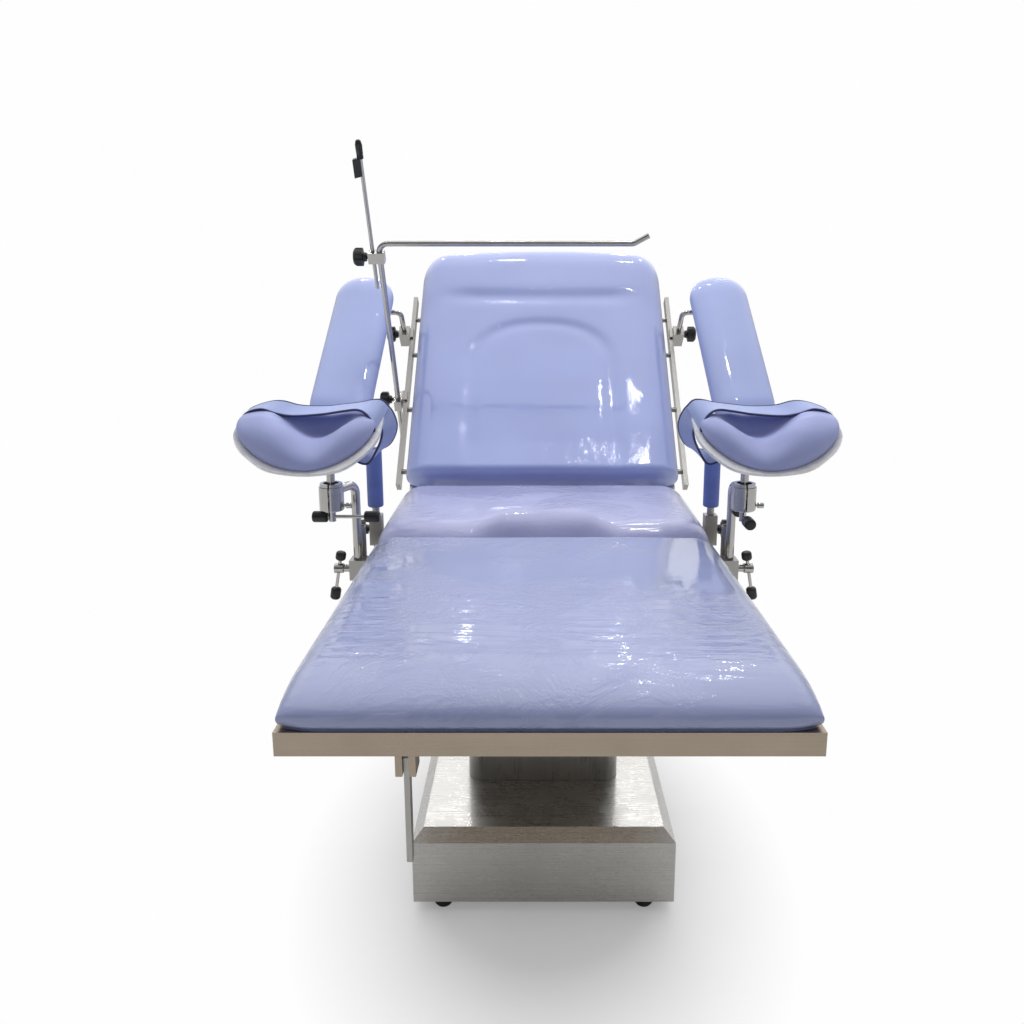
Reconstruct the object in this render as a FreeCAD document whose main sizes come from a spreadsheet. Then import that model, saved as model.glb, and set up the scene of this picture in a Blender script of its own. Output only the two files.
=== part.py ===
import FreeCAD, Part
import math
import os
from types import SimpleNamespace

from FreeCAD import Placement, Rotation, Vector

# Electric delivery table: a floor base, a telescopic column, a tilting seat frame, a raising
# back section, a folding leg section, and the holders clamped to its side rails.
# Millimetres. +X is the patient's left hand side, +Y the head end, +Z up.
# The floor is at Z 0 and the origin is under the middle of the overall length.

# Driving dimensions
SIZES = {
    "middle_offset": -122,
    "table_width": 600,
    "frame_top": 655,
    "leg_length": 600,
    "seat_length": 338,
    "apron_height": 28,
    "sheet_wall": 2,
    "joint_gap": 0.3,
    "running_gap": 0.05,
    "base_width": 480,
    "base_length": 820,
    "base_front": -80,
    "cover_bottom": 20,
    "cover_side": 121,
    "cover_bevel": 20,
    "foot_radius": 17,
    "foot_inset": 53,
    "chassis_tube": 40,
    "foot_plate_thick": 12,
    "column_width": 300,
    "column_depth": 220,
    "column_centre": 197,
    "column_corner": 30,
    "column_gap": 2,
    "column_top": 400,
    "upper_bottom": 170,
    "head_level": 540,
    "head_plate": 10,
    "guide_spacing": 180,
    "guide_radius": 20,
    "guide_top": 500,
    "sleeve_wall": 6,
    "sleeve_bottom": 240,
    "lift_tube_radius": 35,
    "lift_rod_radius": 20,
    "lift_tube_top": 390,
    "tilt_pin_level": 590,
    "tilt_pin_radius": 12,
    "tilt_ear_spacing": 200,
    "tilt_ear_thick": 12,
    "frame_tube_width": 30,
    "frame_tube_height": 50,
    "frame_inset": 4,
    "frame_front": 16,
    "leg_hinge_drop": 14,
    "hinge_pin_radius": 6,
    "hinge_ear_radius": 11,
    "back_hinge_reach": 350,
    "back_angle": 48,
    "back_tube": 25,
    "back_length": 732,
    "back_start": 44,
    "leg_cushion_thick": 47,
    "seat_cushion_thick": 63,
    "back_cushion_thick": 70,
    "cushion_overhang": 3,
    "cutout_half_width": 125,
    "cutout_depth": 70,
    "rail_thick": 10,
    "rail_height": 25,
    "rail_offset": 7,
    "back_rail_offset": 18,
    "seat_rail_level": 624,
    "post_radius": 8,
    "post_station": 40,
    "post_level": 784,
    "left_reach_out": 27,
    "right_reach_out": 4,
    "holder_reach_front": 66,
    "housing_radius": 21,
    "housing_height": 48,
    "ball_radius": 13,
    "trough_radius": 200,
    "crutch_offset": 25,
    "crutch_width": 236,
    "crutch_depth": 145,
    "crutch_tilt": 28,
    "crutch_pad_thick": 24,
    "crutch_shell_thick": 5,
    "grip_station": 150,
    "grip_radius": 15.5,
    "grip_length": 112,
    "grip_rod_radius": 7,
    "arm_station": 490,
    "arm_post_height": 84,
    "arm_rod_radius": 6,
    "arm_length": 430,
    "arm_width": 138,
    "arm_stand_off": 58,
    "arm_head_reach": 85,
    "arm_cushion_thick": 40,
    "arm_splay": 4,
    "screen_station": 300,
    "screen_rod_radius": 6,
    "screen_rod_length": 405,
    "screen_rod_tail": 110,
    "screen_bar_length": 530,
    "screen_lean": 118,
    "extension_radius": 4,
    "back_actuator_side": 190,
    "back_actuator_drop": 95,
    "back_lever_length": 130,
    "lever_mid_angle": 32.5,
}

doc = FreeCAD.newDocument("delivery_table")
sheet = doc.addObject("Spreadsheet::Sheet", "Sizes")
for row, (alias, amount) in enumerate(SIZES.items(), start=1):
    sheet.set("A%d" % row, alias)
    sheet.set("B%d" % row, str(amount))
    sheet.setAlias("B%d" % row, alias)
doc.recompute()
d = SimpleNamespace(**{alias: float(sheet.get(alias)) for alias in SIZES})

# Sizes that follow from the driving dimensions
half_width = d.table_width / 2
frame_half = half_width - d.frame_inset
cushion_half = half_width + d.cushion_overhang
apron_bottom = d.frame_top - d.apron_height
leg_pin_level = d.frame_top - d.leg_hinge_drop
cover_top = d.cover_bottom + d.cover_side + d.cover_bevel
plate_top = d.cover_bottom + d.chassis_tube + d.foot_plate_thick
rail_inner = half_width + d.rail_offset
rail_centre = rail_inner + d.rail_thick / 2
rail_outer = rail_inner + d.rail_thick
back_rail_inner = half_width + d.back_rail_offset
back_rail_outer = back_rail_inner + d.rail_thick
back_turn = Rotation(Vector(1, 0, 0), d.back_angle)
back_origin = Vector(0, d.back_hinge_reach, d.frame_top)

# Turns that stand a body's own +Z along another axis
ALONG_X = Rotation(Vector(1, 1, 1), 120)
ALONG_Y = Rotation(Vector(1, 0, 0), 90)
UPRIGHT = Rotation()
SIDES = ((-1, "left"), (1, "right"))

nodes = []


def keep(obj, label):
    """Give a finished sub-part its name and list it for writing."""
    obj.Label = label
    nodes.append(obj)
    return obj


def at(x, y, z, turn=UPRIGHT):
    """A place in the table's frame, measured from the seat's front edge."""
    return Placement(Vector(x, y + d.middle_offset, z), turn)


def on_back(x, along, above, turn=UPRIGHT):
    """A place on the back section: along it from the hinge, and above its frame."""
    point = back_origin + back_turn.multVec(Vector(x, along, above))
    return at(point.x, point.y, point.z, back_turn.multiply(turn))


def bind(obj, **formulas):
    """Tie sizes of an object to cells of the sheet."""
    for name, formula in formulas.items():
        obj.setExpression(name, formula)


def cell(alias):
    return "Sizes." + alias


def new_sketch(body, role, name, offset=0):
    sketch = body.newObject("Sketcher::SketchObject", name)
    plane = [f for f in body.Origin.OriginFeatures if f.Role == role][0]
    sketch.AttachmentSupport = [(plane, "")]
    sketch.MapMode = "FlatFace"
    sketch.AttachmentOffset = Placement(Vector(0, 0, offset), UPRIGHT)
    return sketch


def rounded_edges(points, radius):
    """Straight edges through the points, joined by arcs of the given radius at each corner."""
    count = len(points)
    radii = radius if isinstance(radius, (list, tuple)) else [radius] * count
    starts, ends, arcs = [], [], []
    for i in range(count):
        corner = Vector(*points[i], 0)
        before = (Vector(*points[i - 1], 0) - corner).normalize()
        after = (Vector(*points[(i + 1) % count], 0) - corner).normalize()
        if radii[i] <= 0:
            starts.append(corner)
            ends.append(corner)
            continue
        half = before.getAngle(after) / 2
        reach = radii[i] / math.tan(half)
        first = corner + before * reach
        last = corner + after * reach
        inward = (before + after).normalize()
        middle = corner + inward * (radii[i] / math.sin(half) - radii[i])
        arcs.append(Part.Arc(first, middle, last))
        starts.append(first)
        ends.append(last)
    lines = []
    for i in range(count):
        start, end = ends[i], starts[(i + 1) % count]
        if start.distanceToPoint(end) > 1e-6:
            lines.append(Part.LineSegment(start, end))
    return lines + arcs


def outline(sketch, points, radius=0):
    for edge in rounded_edges(points, radius):
        sketch.addGeometry(edge)


def circle(sketch, x, y, radius):
    sketch.addGeometry(Part.Circle(Vector(x, y, 0), Vector(0, 0, 1), radius))


def rectangle(x_low, y_low, x_high, y_high):
    return [(x_low, y_low), (x_high, y_low), (x_high, y_high), (x_low, y_high)]


def centred(width, height):
    return rectangle(-width / 2, -height / 2, width / 2, height / 2)


def plate(name, loops, depth, place, middle=False, formula=None):
    """A body padded from closed loops: each is (points, corner radius) or (x, y, radius) of a circle."""
    body = doc.addObject("PartDesign::Body", name)
    sketch = new_sketch(body, "XY_Plane", name + "_outline")
    for loop in loops:
        if len(loop) == 3:
            circle(sketch, *loop)
        else:
            outline(sketch, *loop)
    pad = body.newObject("PartDesign::Pad", name + "_pad")
    pad.Profile = sketch
    pad.Length = depth
    if formula:
        bind(pad, Length=formula)
    if middle:
        pad.SideType = "Symmetric"
    sketch.Visibility = False
    body.Placement = place
    return body


def cut_pocket(body, name, loops, depth, level, upward=True):
    """Sink closed loops into a body from a level of its own +Z."""
    sketch = new_sketch(body, "XY_Plane", name + "_outline", level)
    for loop in loops:
        if len(loop) == 3:
            circle(sketch, *loop)
        else:
            outline(sketch, *loop)
    pocket = body.newObject("PartDesign::Pocket", name)
    pocket.Profile = sketch
    pocket.Length = depth
    pocket.Reversed = upward
    return pocket


def turned(name, profile, place, radius=0):
    """A body turned about its own +Z from a half profile of (radius, height) points."""
    body = doc.addObject("PartDesign::Body", name)
    sketch = new_sketch(body, "XZ_Plane", name + "_profile")
    outline(sketch, profile, radius)
    spin = body.newObject("PartDesign::Revolution", name + "_turn")
    spin.Profile = sketch
    spin.ReferenceAxis = (sketch, ["V_Axis"])
    spin.Angle = 360
    body.Placement = place
    return body


def bent_rod(name, points, bends, rod_radius, place):
    """A round rod swept along straight runs in its own XZ plane, with an arc at each bend."""
    body = doc.addObject("PartDesign::Body", name)
    path = new_sketch(body, "XZ_Plane", name + "_path")
    corners = [Vector(x, z, 0) for x, z in points]
    position = corners[0]
    count = 0
    for i in range(1, len(corners) - 1):
        before = (corners[i - 1] - corners[i]).normalize()
        after = (corners[i + 1] - corners[i]).normalize()
        half = before.getAngle(after) / 2
        first = corners[i] + before * (bends / math.tan(half))
        last = corners[i] + after * (bends / math.tan(half))
        inward = (before + after).normalize()
        middle = corners[i] + inward * (bends / math.sin(half) - bends)
        path.addGeometry(Part.LineSegment(position, first))
        path.addGeometry(Part.Arc(first, middle, last))
        position = last
        count += 2
    path.addGeometry(Part.LineSegment(position, corners[-1]))
    section = new_sketch(body, "XY_Plane", name + "_section", points[0][1])
    circle(section, points[0][0], 0, rod_radius)
    pipe = body.newObject("PartDesign::AdditivePipe", name + "_pipe")
    pipe.Profile = section
    pipe.Spine = (path, ["Edge%d" % (i + 1) for i in range(count + 1)])
    body.Placement = place
    return body


def block(name, length, width, height, place):
    """A box whose place is its centre; lengths may be numbers or cells of the sheet."""
    box = doc.addObject("Part::Box", name)
    for prop, amount in (("Length", length), ("Width", width), ("Height", height)):
        if isinstance(amount, str):
            box.setExpression(prop, amount)
        else:
            setattr(box, prop, amount)
    box.recompute()
    middle = Vector(box.Length.Value / 2, box.Width.Value / 2, box.Height.Value / 2)
    box.Placement = place.multiply(Placement(-middle, UPRIGHT))
    return box


def rod(name, radius, low, high, place):
    """A straight round bar along the place's own +Z, from low to high."""
    bar = doc.addObject("Part::Cylinder", name)
    if isinstance(radius, str):
        bar.setExpression("Radius", radius)
    else:
        bar.Radius = radius
    bar.Height = high - low
    bar.Placement = place.multiply(Placement(Vector(0, 0, low), UPRIGHT))
    return bar


def fused(name, parts):
    union = doc.addObject("Part::MultiFuse", name)
    union.Shapes = parts
    union.Refine = True
    return union


def cut(name, base, tool):
    result = doc.addObject("Part::Cut", name)
    result.Base = base
    result.Tool = tool
    result.Refine = True
    return result


def group(name, parts):
    """Separate solids of one kind that share a node."""
    compound = doc.addObject("Part::Compound", name)
    compound.Links = parts
    return compound


def edge_names(feature, test):
    """Names of the edges whose every point passes a test."""
    names = []
    for number, edge in enumerate(feature.Shape.Edges, start=1):
        points = edge.discretize(5)
        if all(test(point) for point in points):
            names.append("Edge%d" % number)
    return names


def round_edges(body, name, feature, test, radius):
    doc.recompute()
    fillet = body.newObject("PartDesign::Fillet", name)
    fillet.Base = (feature, edge_names(feature, test))
    fillet.Radius = radius
    return fillet


# Base: welded chassis, bevelled cover, feet, inlet and control box
base_rear = d.base_front + d.base_length
base_middle = (d.base_front + base_rear) / 2
half_base = d.base_width / 2
foot_y = (d.base_front + 25, base_rear - d.foot_inset)
foot_x = half_base - d.foot_inset
chassis_front = d.base_front + 5
chassis_rear = base_rear - 5
guide_x = d.guide_spacing / 2


def make_chassis():
    tube = d.chassis_tube
    level = d.cover_bottom + tube / 2
    run = chassis_rear - chassis_front
    middle = (chassis_rear + chassis_front) / 2
    parts = []
    for side, side_name in SIDES:
        place = at(side * foot_x, middle, level)
        parts.append(block("chassis_tube_" + side_name, cell("chassis_tube"), run, cell("chassis_tube"), place))
    stations = (foot_y[0], d.column_centre - 90, d.column_centre + 90, 540, foot_y[1])
    for number, station in enumerate(stations):
        place = at(0, station, level)
        parts.append(block("chassis_cross_%d" % number, 2 * foot_x, tube, cell("chassis_tube"), place))
    plate_place = at(0, d.column_centre, d.cover_bottom + tube + d.foot_plate_thick / 2)
    foot_plate = block("column_foot", d.column_width + 60, d.column_depth + 60, cell("foot_plate_thick"), plate_place)
    parts.append(foot_plate)
    for side, side_name in SIDES:
        place = at(side * guide_x, d.column_centre, 0)
        parts.append(rod("guide_post_" + side_name, cell("guide_radius"), plate_top - 2, d.guide_top, place))
    keep(fused("chassis_weldment", parts), "base_chassis")


def bevelled_block(name, inset):
    """The cover's outer or inner form: upright sides under a bevelled top."""
    width = d.base_width - 2 * inset
    length = d.base_length - 2 * inset
    height = d.cover_side + d.cover_bevel - inset
    body = plate(name, [(centred(width, length), 0)], height, at(0, base_middle, d.cover_bottom))
    doc.recompute()
    base = body.Tip
    bevel = body.newObject("PartDesign::Chamfer", name + "_bevel")
    bevel.Base = (base, edge_names(base, lambda point: point.z > height - 0.01))
    bevel.Size = d.cover_bevel
    return body


def make_cover():
    outer = bevelled_block("cover_outside", 0)
    inner = bevelled_block("cover_inside", d.sheet_wall)
    shell = cut("cover_shell", outer, inner)
    opening_width = d.column_width + 1
    opening_depth = d.column_depth + 1
    opening = plate("column_opening", [(centred(opening_width, opening_depth), d.column_corner + 0.5)], 40,
                    at(0, d.column_centre, cover_top - 20))
    inlet = block("inlet_opening", 46.4, 20, 24.4, at(150, base_rear, 80))
    openings = fused("cover_openings", [opening, inlet])
    keep(cut("base_cover", shell, openings), "base_cover")


def make_feet():
    feet = []
    nut = 9
    cup = 12
    profile = [(0, 0), (d.foot_radius - 3, 0), (d.foot_radius, 4), (d.foot_radius, cup), (nut, cup + 2),
               (nut, d.cover_bottom), (0, d.cover_bottom)]
    for side, side_name in SIDES:
        for y, end in zip(foot_y, ("front", "rear")):
            feet.append(turned("foot_%s_%s" % (side_name, end), profile, at(side * foot_x, y, 0)))
    keep(group("feet", feet), "levelling_feet")


def make_inlet():
    flange = plate("inlet_flange", [(centred(58, 32), 3)], 3, at(150, base_rear + 3, 80, ALONG_Y))
    barrel = block("inlet_barrel", 46, 24, 24, at(150, base_rear - 12, 80))
    body = fused("inlet_body", [flange, barrel])
    socket = plate("inlet_socket", [([(-12, -8), (12, -8), (12, 4), (8, 8), (-8, 8), (-12, 4)], 0)], 20,
                   at(150, base_rear + 4, 80, ALONG_Y))
    hollow = cut("inlet_hollow", body, socket)
    blades = [block("inlet_blade_%d" % i, 2, 13, 5, at(150 + x, base_rear - 9.6, 80 + z))
              for i, (x, z) in enumerate(((-7, -2), (0, 3), (7, -2)))]
    keep(fused("inlet", [hollow] + blades), "power_inlet")


def make_control_box():
    level = d.cover_bottom + d.chassis_tube
    lower = plate("control_case", [(centred(190, 130), 8)], 52, at(0, 560, level))
    lid = plate("control_lid", [(centred(196, 136), 9)], 8, at(0, 560, level + 52))
    glands = [rod("control_gland_%d" % i, 8, 0, 14, at(x, 495, level + 26, ALONG_Y))
              for i, x in enumerate((-60, -20, 20, 60))]
    keep(fused("control_unit", [lower, lid] + glands), "control_box")


def telescopic_tube(name, shrink, low, high):
    """One section of the column's cover: a rectangular tube with rounded upright corners."""
    width = d.column_width - 2 * shrink
    depth = d.column_depth - 2 * shrink
    corner = d.column_corner - shrink
    inside = corner - d.sheet_wall
    wall = 2 * d.sheet_wall
    loops = [(centred(width, depth), corner), (centred(width - wall, depth - wall), inside)]
    return plate(name, loops, high - low, at(0, d.column_centre, low))


def make_lift_tube():
    """Fixed half of the lifting drive: geared motor beside the outer tube."""
    tube = plate("lift_tube", [(0, 0, d.lift_tube_radius), (0, 0, d.lift_rod_radius + d.running_gap)],
                 d.lift_tube_top - plate_top - 20, at(0, d.column_centre, plate_top + 20))
    gear = plate("lift_gearbox", [([(-42, -42), (42, -42), (42, 95), (-42, 95)], 14)], 24,
                 at(0, d.column_centre, plate_top))
    motor = turned("lift_motor", [(0, 0), (26, 0), (28, 3), (28, 92), (22, 98), (0, 98)],
                   at(0, d.column_centre + 65, plate_top + 20))
    collar = plate("lift_collar", [(0, 0, d.lift_tube_radius + 5), (0, 0, d.lift_rod_radius + d.running_gap)],
                   12, at(0, d.column_centre, d.lift_tube_top - 6))
    keep(fused("lift_drive", [tube, gear, motor, collar]), "lift_actuator_tube")


make_chassis()
make_cover()
make_feet()
make_inlet()
make_control_box()
keep(telescopic_tube("lower_tube", 0, plate_top, d.column_top), "column_lower_cover")
make_lift_tube()


# Lifting stage: inner cover, rod, and the head that carries the tilting frame
head_top = d.head_level + d.head_plate
ear_x = d.tilt_ear_spacing / 2
pin_place = at(0, d.column_centre, d.tilt_pin_level, ALONG_X)
tilt_link_side = -190
tilt_foot = (d.column_centre, 500)
tilt_crank = (36, 572)


def ear(name, points, radius, bore, thick, place):
    """A flat lug: an outline with its round end, bored for a pin at the place's own centre."""
    return plate(name, [(points, radius), (0, 0, bore)], thick, place, middle=True)


def make_head():
    shrink = d.column_gap + d.sheet_wall
    sleeve_radius = d.guide_radius + d.running_gap
    plate_width = d.column_width - 2 * shrink
    parts = [plate("head_plate", [(centred(plate_width, d.column_depth - 2 * shrink), 24)], d.head_plate,
                   at(0, d.column_centre, d.head_level), formula=cell("head_plate"))]
    for side, side_name in SIDES:
        loops = [(0, 0, sleeve_radius + d.sleeve_wall), (0, 0, sleeve_radius)]
        parts.append(plate("guide_sleeve_" + side_name, loops, d.head_level - d.sleeve_bottom + 1,
                           at(side * guide_x, d.column_centre, d.sleeve_bottom)))
        foot = head_top - d.tilt_pin_level - 1
        points = [(-55, foot), (55, foot), (24, 22), (-24, 22)]
        parts.append(ear("tilt_ear_" + side_name, points, [0, 0, 18, 18], d.tilt_pin_radius + 4, d.tilt_ear_thick,
                         at(side * (ear_x + d.tilt_ear_thick / 2), d.column_centre, d.tilt_pin_level, ALONG_X)))
    arm = block("tilt_link_arm", 46, 40, cell("head_plate"),
                at(tilt_link_side + 45, tilt_foot[0], d.head_level + d.head_plate / 2))
    lug = ear("tilt_link_lug", [(-18, -16), (18, -16), (20, 46), (-20, 46)], [15, 15, 0, 0], 6, 10,
              at(tilt_link_side + 28, tilt_foot[0], tilt_foot[1], ALONG_X))
    pin = rod("tilt_foot_pin", 5.95, -11, 28, at(tilt_link_side, tilt_foot[0], tilt_foot[1], ALONG_X))
    keep(fused("head", parts + [arm, lug, pin]), "tilt_head")


def make_bushes():
    bushes = []
    outer = d.tilt_pin_radius + 4
    bore = d.tilt_pin_radius + d.running_gap
    for side, side_name in SIDES:
        profile = [(bore, 0), (outer + 4, 0), (outer + 4, 2), (outer, 2), (outer, d.tilt_ear_thick + 2),
                   (bore, d.tilt_ear_thick + 2)]
        turn = Rotation(Vector(0, 1, 0), 90 * side)
        place = at(side * (ear_x - 2), d.column_centre, d.tilt_pin_level, turn)
        bushes.append(turned("tilt_bush_" + side_name, profile, place))
    keep(group("bushes", bushes), "tilt_bushes")


def make_lift_rod():
    keep(rod("lift_rod", cell("lift_rod_radius"), plate_top + 40, d.head_level,
             at(0, d.column_centre, 0)), "lift_actuator_rod")


keep(telescopic_tube("upper_tube", d.column_gap + d.sheet_wall, d.upper_bottom, d.head_level), "column_upper_cover")
make_lift_rod()
make_head()
make_bushes()


# Tilt actuator between the head and the frame's front cross tube
link_run = (tilt_crank[0] - tilt_foot[0], tilt_crank[1] - tilt_foot[1])
link_length = math.hypot(*link_run)
link_angle = math.degrees(math.atan2(link_run[1], link_run[0]))
link_turn = Rotation(Vector(1, 0, 0), link_angle).multiply(Rotation(Vector(1, 0, 0), -90))


def make_tilt_actuator():
    place = at(tilt_link_side, tilt_foot[0], tilt_foot[1], link_turn)
    foot_place = at(tilt_link_side, tilt_foot[0], tilt_foot[1], ALONG_X)
    crank_place = at(tilt_link_side, tilt_crank[0], tilt_crank[1], ALONG_X)
    eye = plate("tilt_tube_eye", [(0, 0, 13), (0, 0, 6)], 18, foot_place, middle=True)
    barrel_low = 12
    barrel_high = 112
    profile = [(0, barrel_low), (19, barrel_low), (21, barrel_low + 3), (21, barrel_high), (0, barrel_high)]
    barrel = turned("tilt_barrel", profile, place)
    bore = rod("tilt_bore", 9 + d.running_gap, barrel_low + 16, barrel_high + 1, place)
    eye_clear = rod("tilt_eye_clear", 6, -10, 10, foot_place)
    shell = cut("tilt_shell", fused("tilt_tube_solid", [eye, barrel]), fused("tilt_tube_holes", [bore, eye_clear]))
    keep(shell, "tilt_actuator_tube")
    stem = rod("tilt_stem", 9, barrel_low + 50, link_length - 10, place)
    ring = plate("tilt_rod_eye", [(0, 0, 13), (0, 0, 7.5)], 14, crank_place, middle=True)
    ring_clear = rod("tilt_ring_clear", 7.5, -10, 10, crank_place)
    keep(cut("tilt_rod_bored", fused("tilt_rod_solid", [stem, ring]), ring_clear), "tilt_actuator_rod")


make_tilt_actuator()


# Seat frame: welded side and cross tubes with hinge ears, pan, cushion and accessory rails
frame_rear = d.seat_length - 8
frame_level = d.frame_top - d.frame_tube_height / 2
side_tube_x = frame_half - d.frame_tube_width / 2
leg_ear_x = 204
back_ear_x = frame_half - d.frame_tube_width - 5
lug_x = ear_x + d.tilt_ear_thick + 2 + 6
rod_level = d.frame_top - d.back_actuator_drop
cross_height = 30


def make_main_frame():
    parts = []
    run = frame_rear - d.frame_front
    for side, side_name in SIDES:
        place = at(side * side_tube_x, (frame_rear + d.frame_front) / 2, frame_level)
        parts.append(block("side_tube_" + side_name, cell("frame_tube_width"), run, cell("frame_tube_height"), place))
        leg_ear = [(-d.hinge_ear_radius, -d.hinge_ear_radius), (24, -d.hinge_ear_radius),
                   (24, d.hinge_ear_radius), (-d.hinge_ear_radius, d.hinge_ear_radius)]
        parts.append(ear("leg_ear_" + side_name, leg_ear, [10.9, 0, 0, 10.9], d.hinge_pin_radius, 8,
                         at(side * leg_ear_x, 0, leg_pin_level, ALONG_X)))
        back_ear = [(-80, -26), (-24, -26), (13, -13), (13, 13), (-13, 13), (-13, -1), (-80, -1)]
        parts.append(ear("back_ear_" + side_name, back_ear, [0, 6, 12.9, 12.9, 12.9, 0, 0], d.hinge_pin_radius + 1, 10,
                         at(side * back_ear_x, d.back_hinge_reach, d.frame_top, ALONG_X)))
        drop = d.frame_top - 30 - d.tilt_pin_level
        lug = [(-22, -22), (22, -22), (34, drop + 1), (-34, drop + 1)]
        parts.append(ear("tilt_lug_" + side_name, lug, [20, 20, 0, 0], d.tilt_pin_radius, 12,
                         at(side * lug_x, d.column_centre, d.tilt_pin_level, ALONG_X)))
    inner = 2 * (frame_half - d.frame_tube_width)
    parts.append(block("front_cross", inner, 40, cell("frame_tube_height"), at(0, d.frame_front + 20, frame_level)))
    parts.append(block("middle_cross", inner, 76, cross_height, at(0, d.column_centre, d.frame_top - cross_height / 2)))
    parts.append(block("rear_cross", inner, 24, cross_height, at(0, 262, d.frame_top - cross_height / 2)))
    for offset, name in ((-13, "inner"), (13, "outer")):
        lug = [(-17, -14), (15, -14), (17, 34), (-19, 34)]
        parts.append(ear("tilt_crank_lug_" + name, lug, [13, 13, 0, 0], 6, 8,
                         at(tilt_link_side + offset, tilt_crank[0], tilt_crank[1], ALONG_X)))
    keep(fused("frame_weldment", parts), "main_frame")


def make_pins():
    pins = []
    for side, side_name in SIDES:
        place = at(side * (leg_ear_x + 4), 0, leg_pin_level, ALONG_X)
        pins.append(rod("leg_pin_" + side_name, d.hinge_pin_radius, -10, 10, place))
        place = at(side * (back_ear_x - 5), d.back_hinge_reach, d.frame_top, ALONG_X)
        pins.append(rod("back_pin_" + side_name, d.hinge_pin_radius + 1, -12, 12, place))
    reach = lug_x + 10
    pins.append(rod("tilt_pin", cell("tilt_pin_radius"), -reach, reach, pin_place))
    crank_place = at(tilt_link_side, tilt_crank[0], tilt_crank[1], ALONG_X)
    pins.append(rod("tilt_crank_pin", 6, -19, 19, crank_place))
    keep(group("pins", pins), "hinge_pins")


def seat_outline(half, front, rear, cut_half, cut_depth):
    """The seat seen from above, with the U-shaped cut-out in its front edge."""
    return [(-half, front), (-cut_half, front), (-cut_half + 12, front + cut_depth), (cut_half - 12, front + cut_depth),
            (cut_half, front), (half, front), (half, rear), (-half, rear)]


def make_seat():
    pan_front = 6
    points = seat_outline(half_width, pan_front, d.seat_length - 4, d.cutout_half_width, d.cutout_depth - 4)
    radii = [2, 12, 50, 50, 12, 2, 2, 2]
    pan = plate("seat_sheet", [(points, radii)], d.sheet_wall, at(0, 0, d.frame_top), formula=cell("sheet_wall"))
    keep(pan, "seat_pan")
    points = seat_outline(cushion_half, 2, d.seat_length - 2, d.cutout_half_width, d.cutout_depth)
    radii = [16, 20, 52, 52, 20, 16, 16, 16]
    height = d.seat_cushion_thick
    foam = plate("seat_foam", [(points, radii)], height, at(0, 0, d.frame_top + d.sheet_wall))
    pad = foam.Tip
    round_edges(foam, "seat_roll", pad, lambda point: point.z > height - 0.01, 15)
    keep(foam, "seat_cushion")


def make_seat_rails():
    parts = []
    run = 322
    middle = 14 + run / 2
    for side, side_name in SIDES:
        bar = block("seat_bar_" + side_name, cell("rail_thick"), run, cell("rail_height"),
                    at(side * rail_centre, middle, d.seat_rail_level))
        spacers = []
        gap = rail_inner - frame_half
        for number, station in enumerate((22, 112, 230, 322)):
            place = at(side * (frame_half + gap / 2), station, d.seat_rail_level, ALONG_X)
            spacers.append(rod("seat_spacer_%s_%d" % (side_name, number), 6, -gap / 2, gap / 2, place))
        parts.append(fused("seat_rail_" + side_name, [bar] + spacers))
    keep(group("seat_rail_pair", parts), "seat_rails")


def make_back_tube():
    """Fixed half of the back drive, hung under the frame beside the column."""
    place = at(d.back_actuator_side, 300, rod_level, ALONG_Y)
    barrel = turned("back_barrel", [(0, 28), (22, 28), (24, 31), (24, 250), (26, 254), (26, 300), (0, 300)], place)
    motor = turned("back_motor", [(0, 228), (17, 228), (19, 231), (19, 300), (0, 300)],
                   at(d.back_actuator_side, 300, rod_level - 40, ALONG_Y))
    case = block("back_gear_case", 54, 34, 96, at(d.back_actuator_side, 17 - 20, rod_level - 16))
    hangers = []
    for end, station, thick, low, high in (("rear", 227, 16, rod_level + 18, d.frame_top - cross_height),
                                           ("front", 42, 20, rod_level + 5, d.frame_top - d.frame_tube_height)):
        hanger_place = at(d.back_actuator_side, station, (low + high) / 2)
        hangers.append(block("back_hanger_" + end, 30, thick, high - low, hanger_place))
    bore = rod("back_bore", 8 + d.running_gap, 27, 240, place)
    solid = fused("back_tube_solid", [barrel, motor, case] + hangers)
    keep(cut("back_tube_bored", solid, bore), "back_actuator_tube")


make_main_frame()
make_pins()
make_seat()
make_seat_rails()


# Back section, drawn along its own frame: +Y from the hinge, +Z out of the cushion
back_tube_x = frame_half - 14 - d.back_tube / 2
back_lug_x = back_ear_x - 10 - d.joint_gap
lever_turn = d.lever_mid_angle


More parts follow.
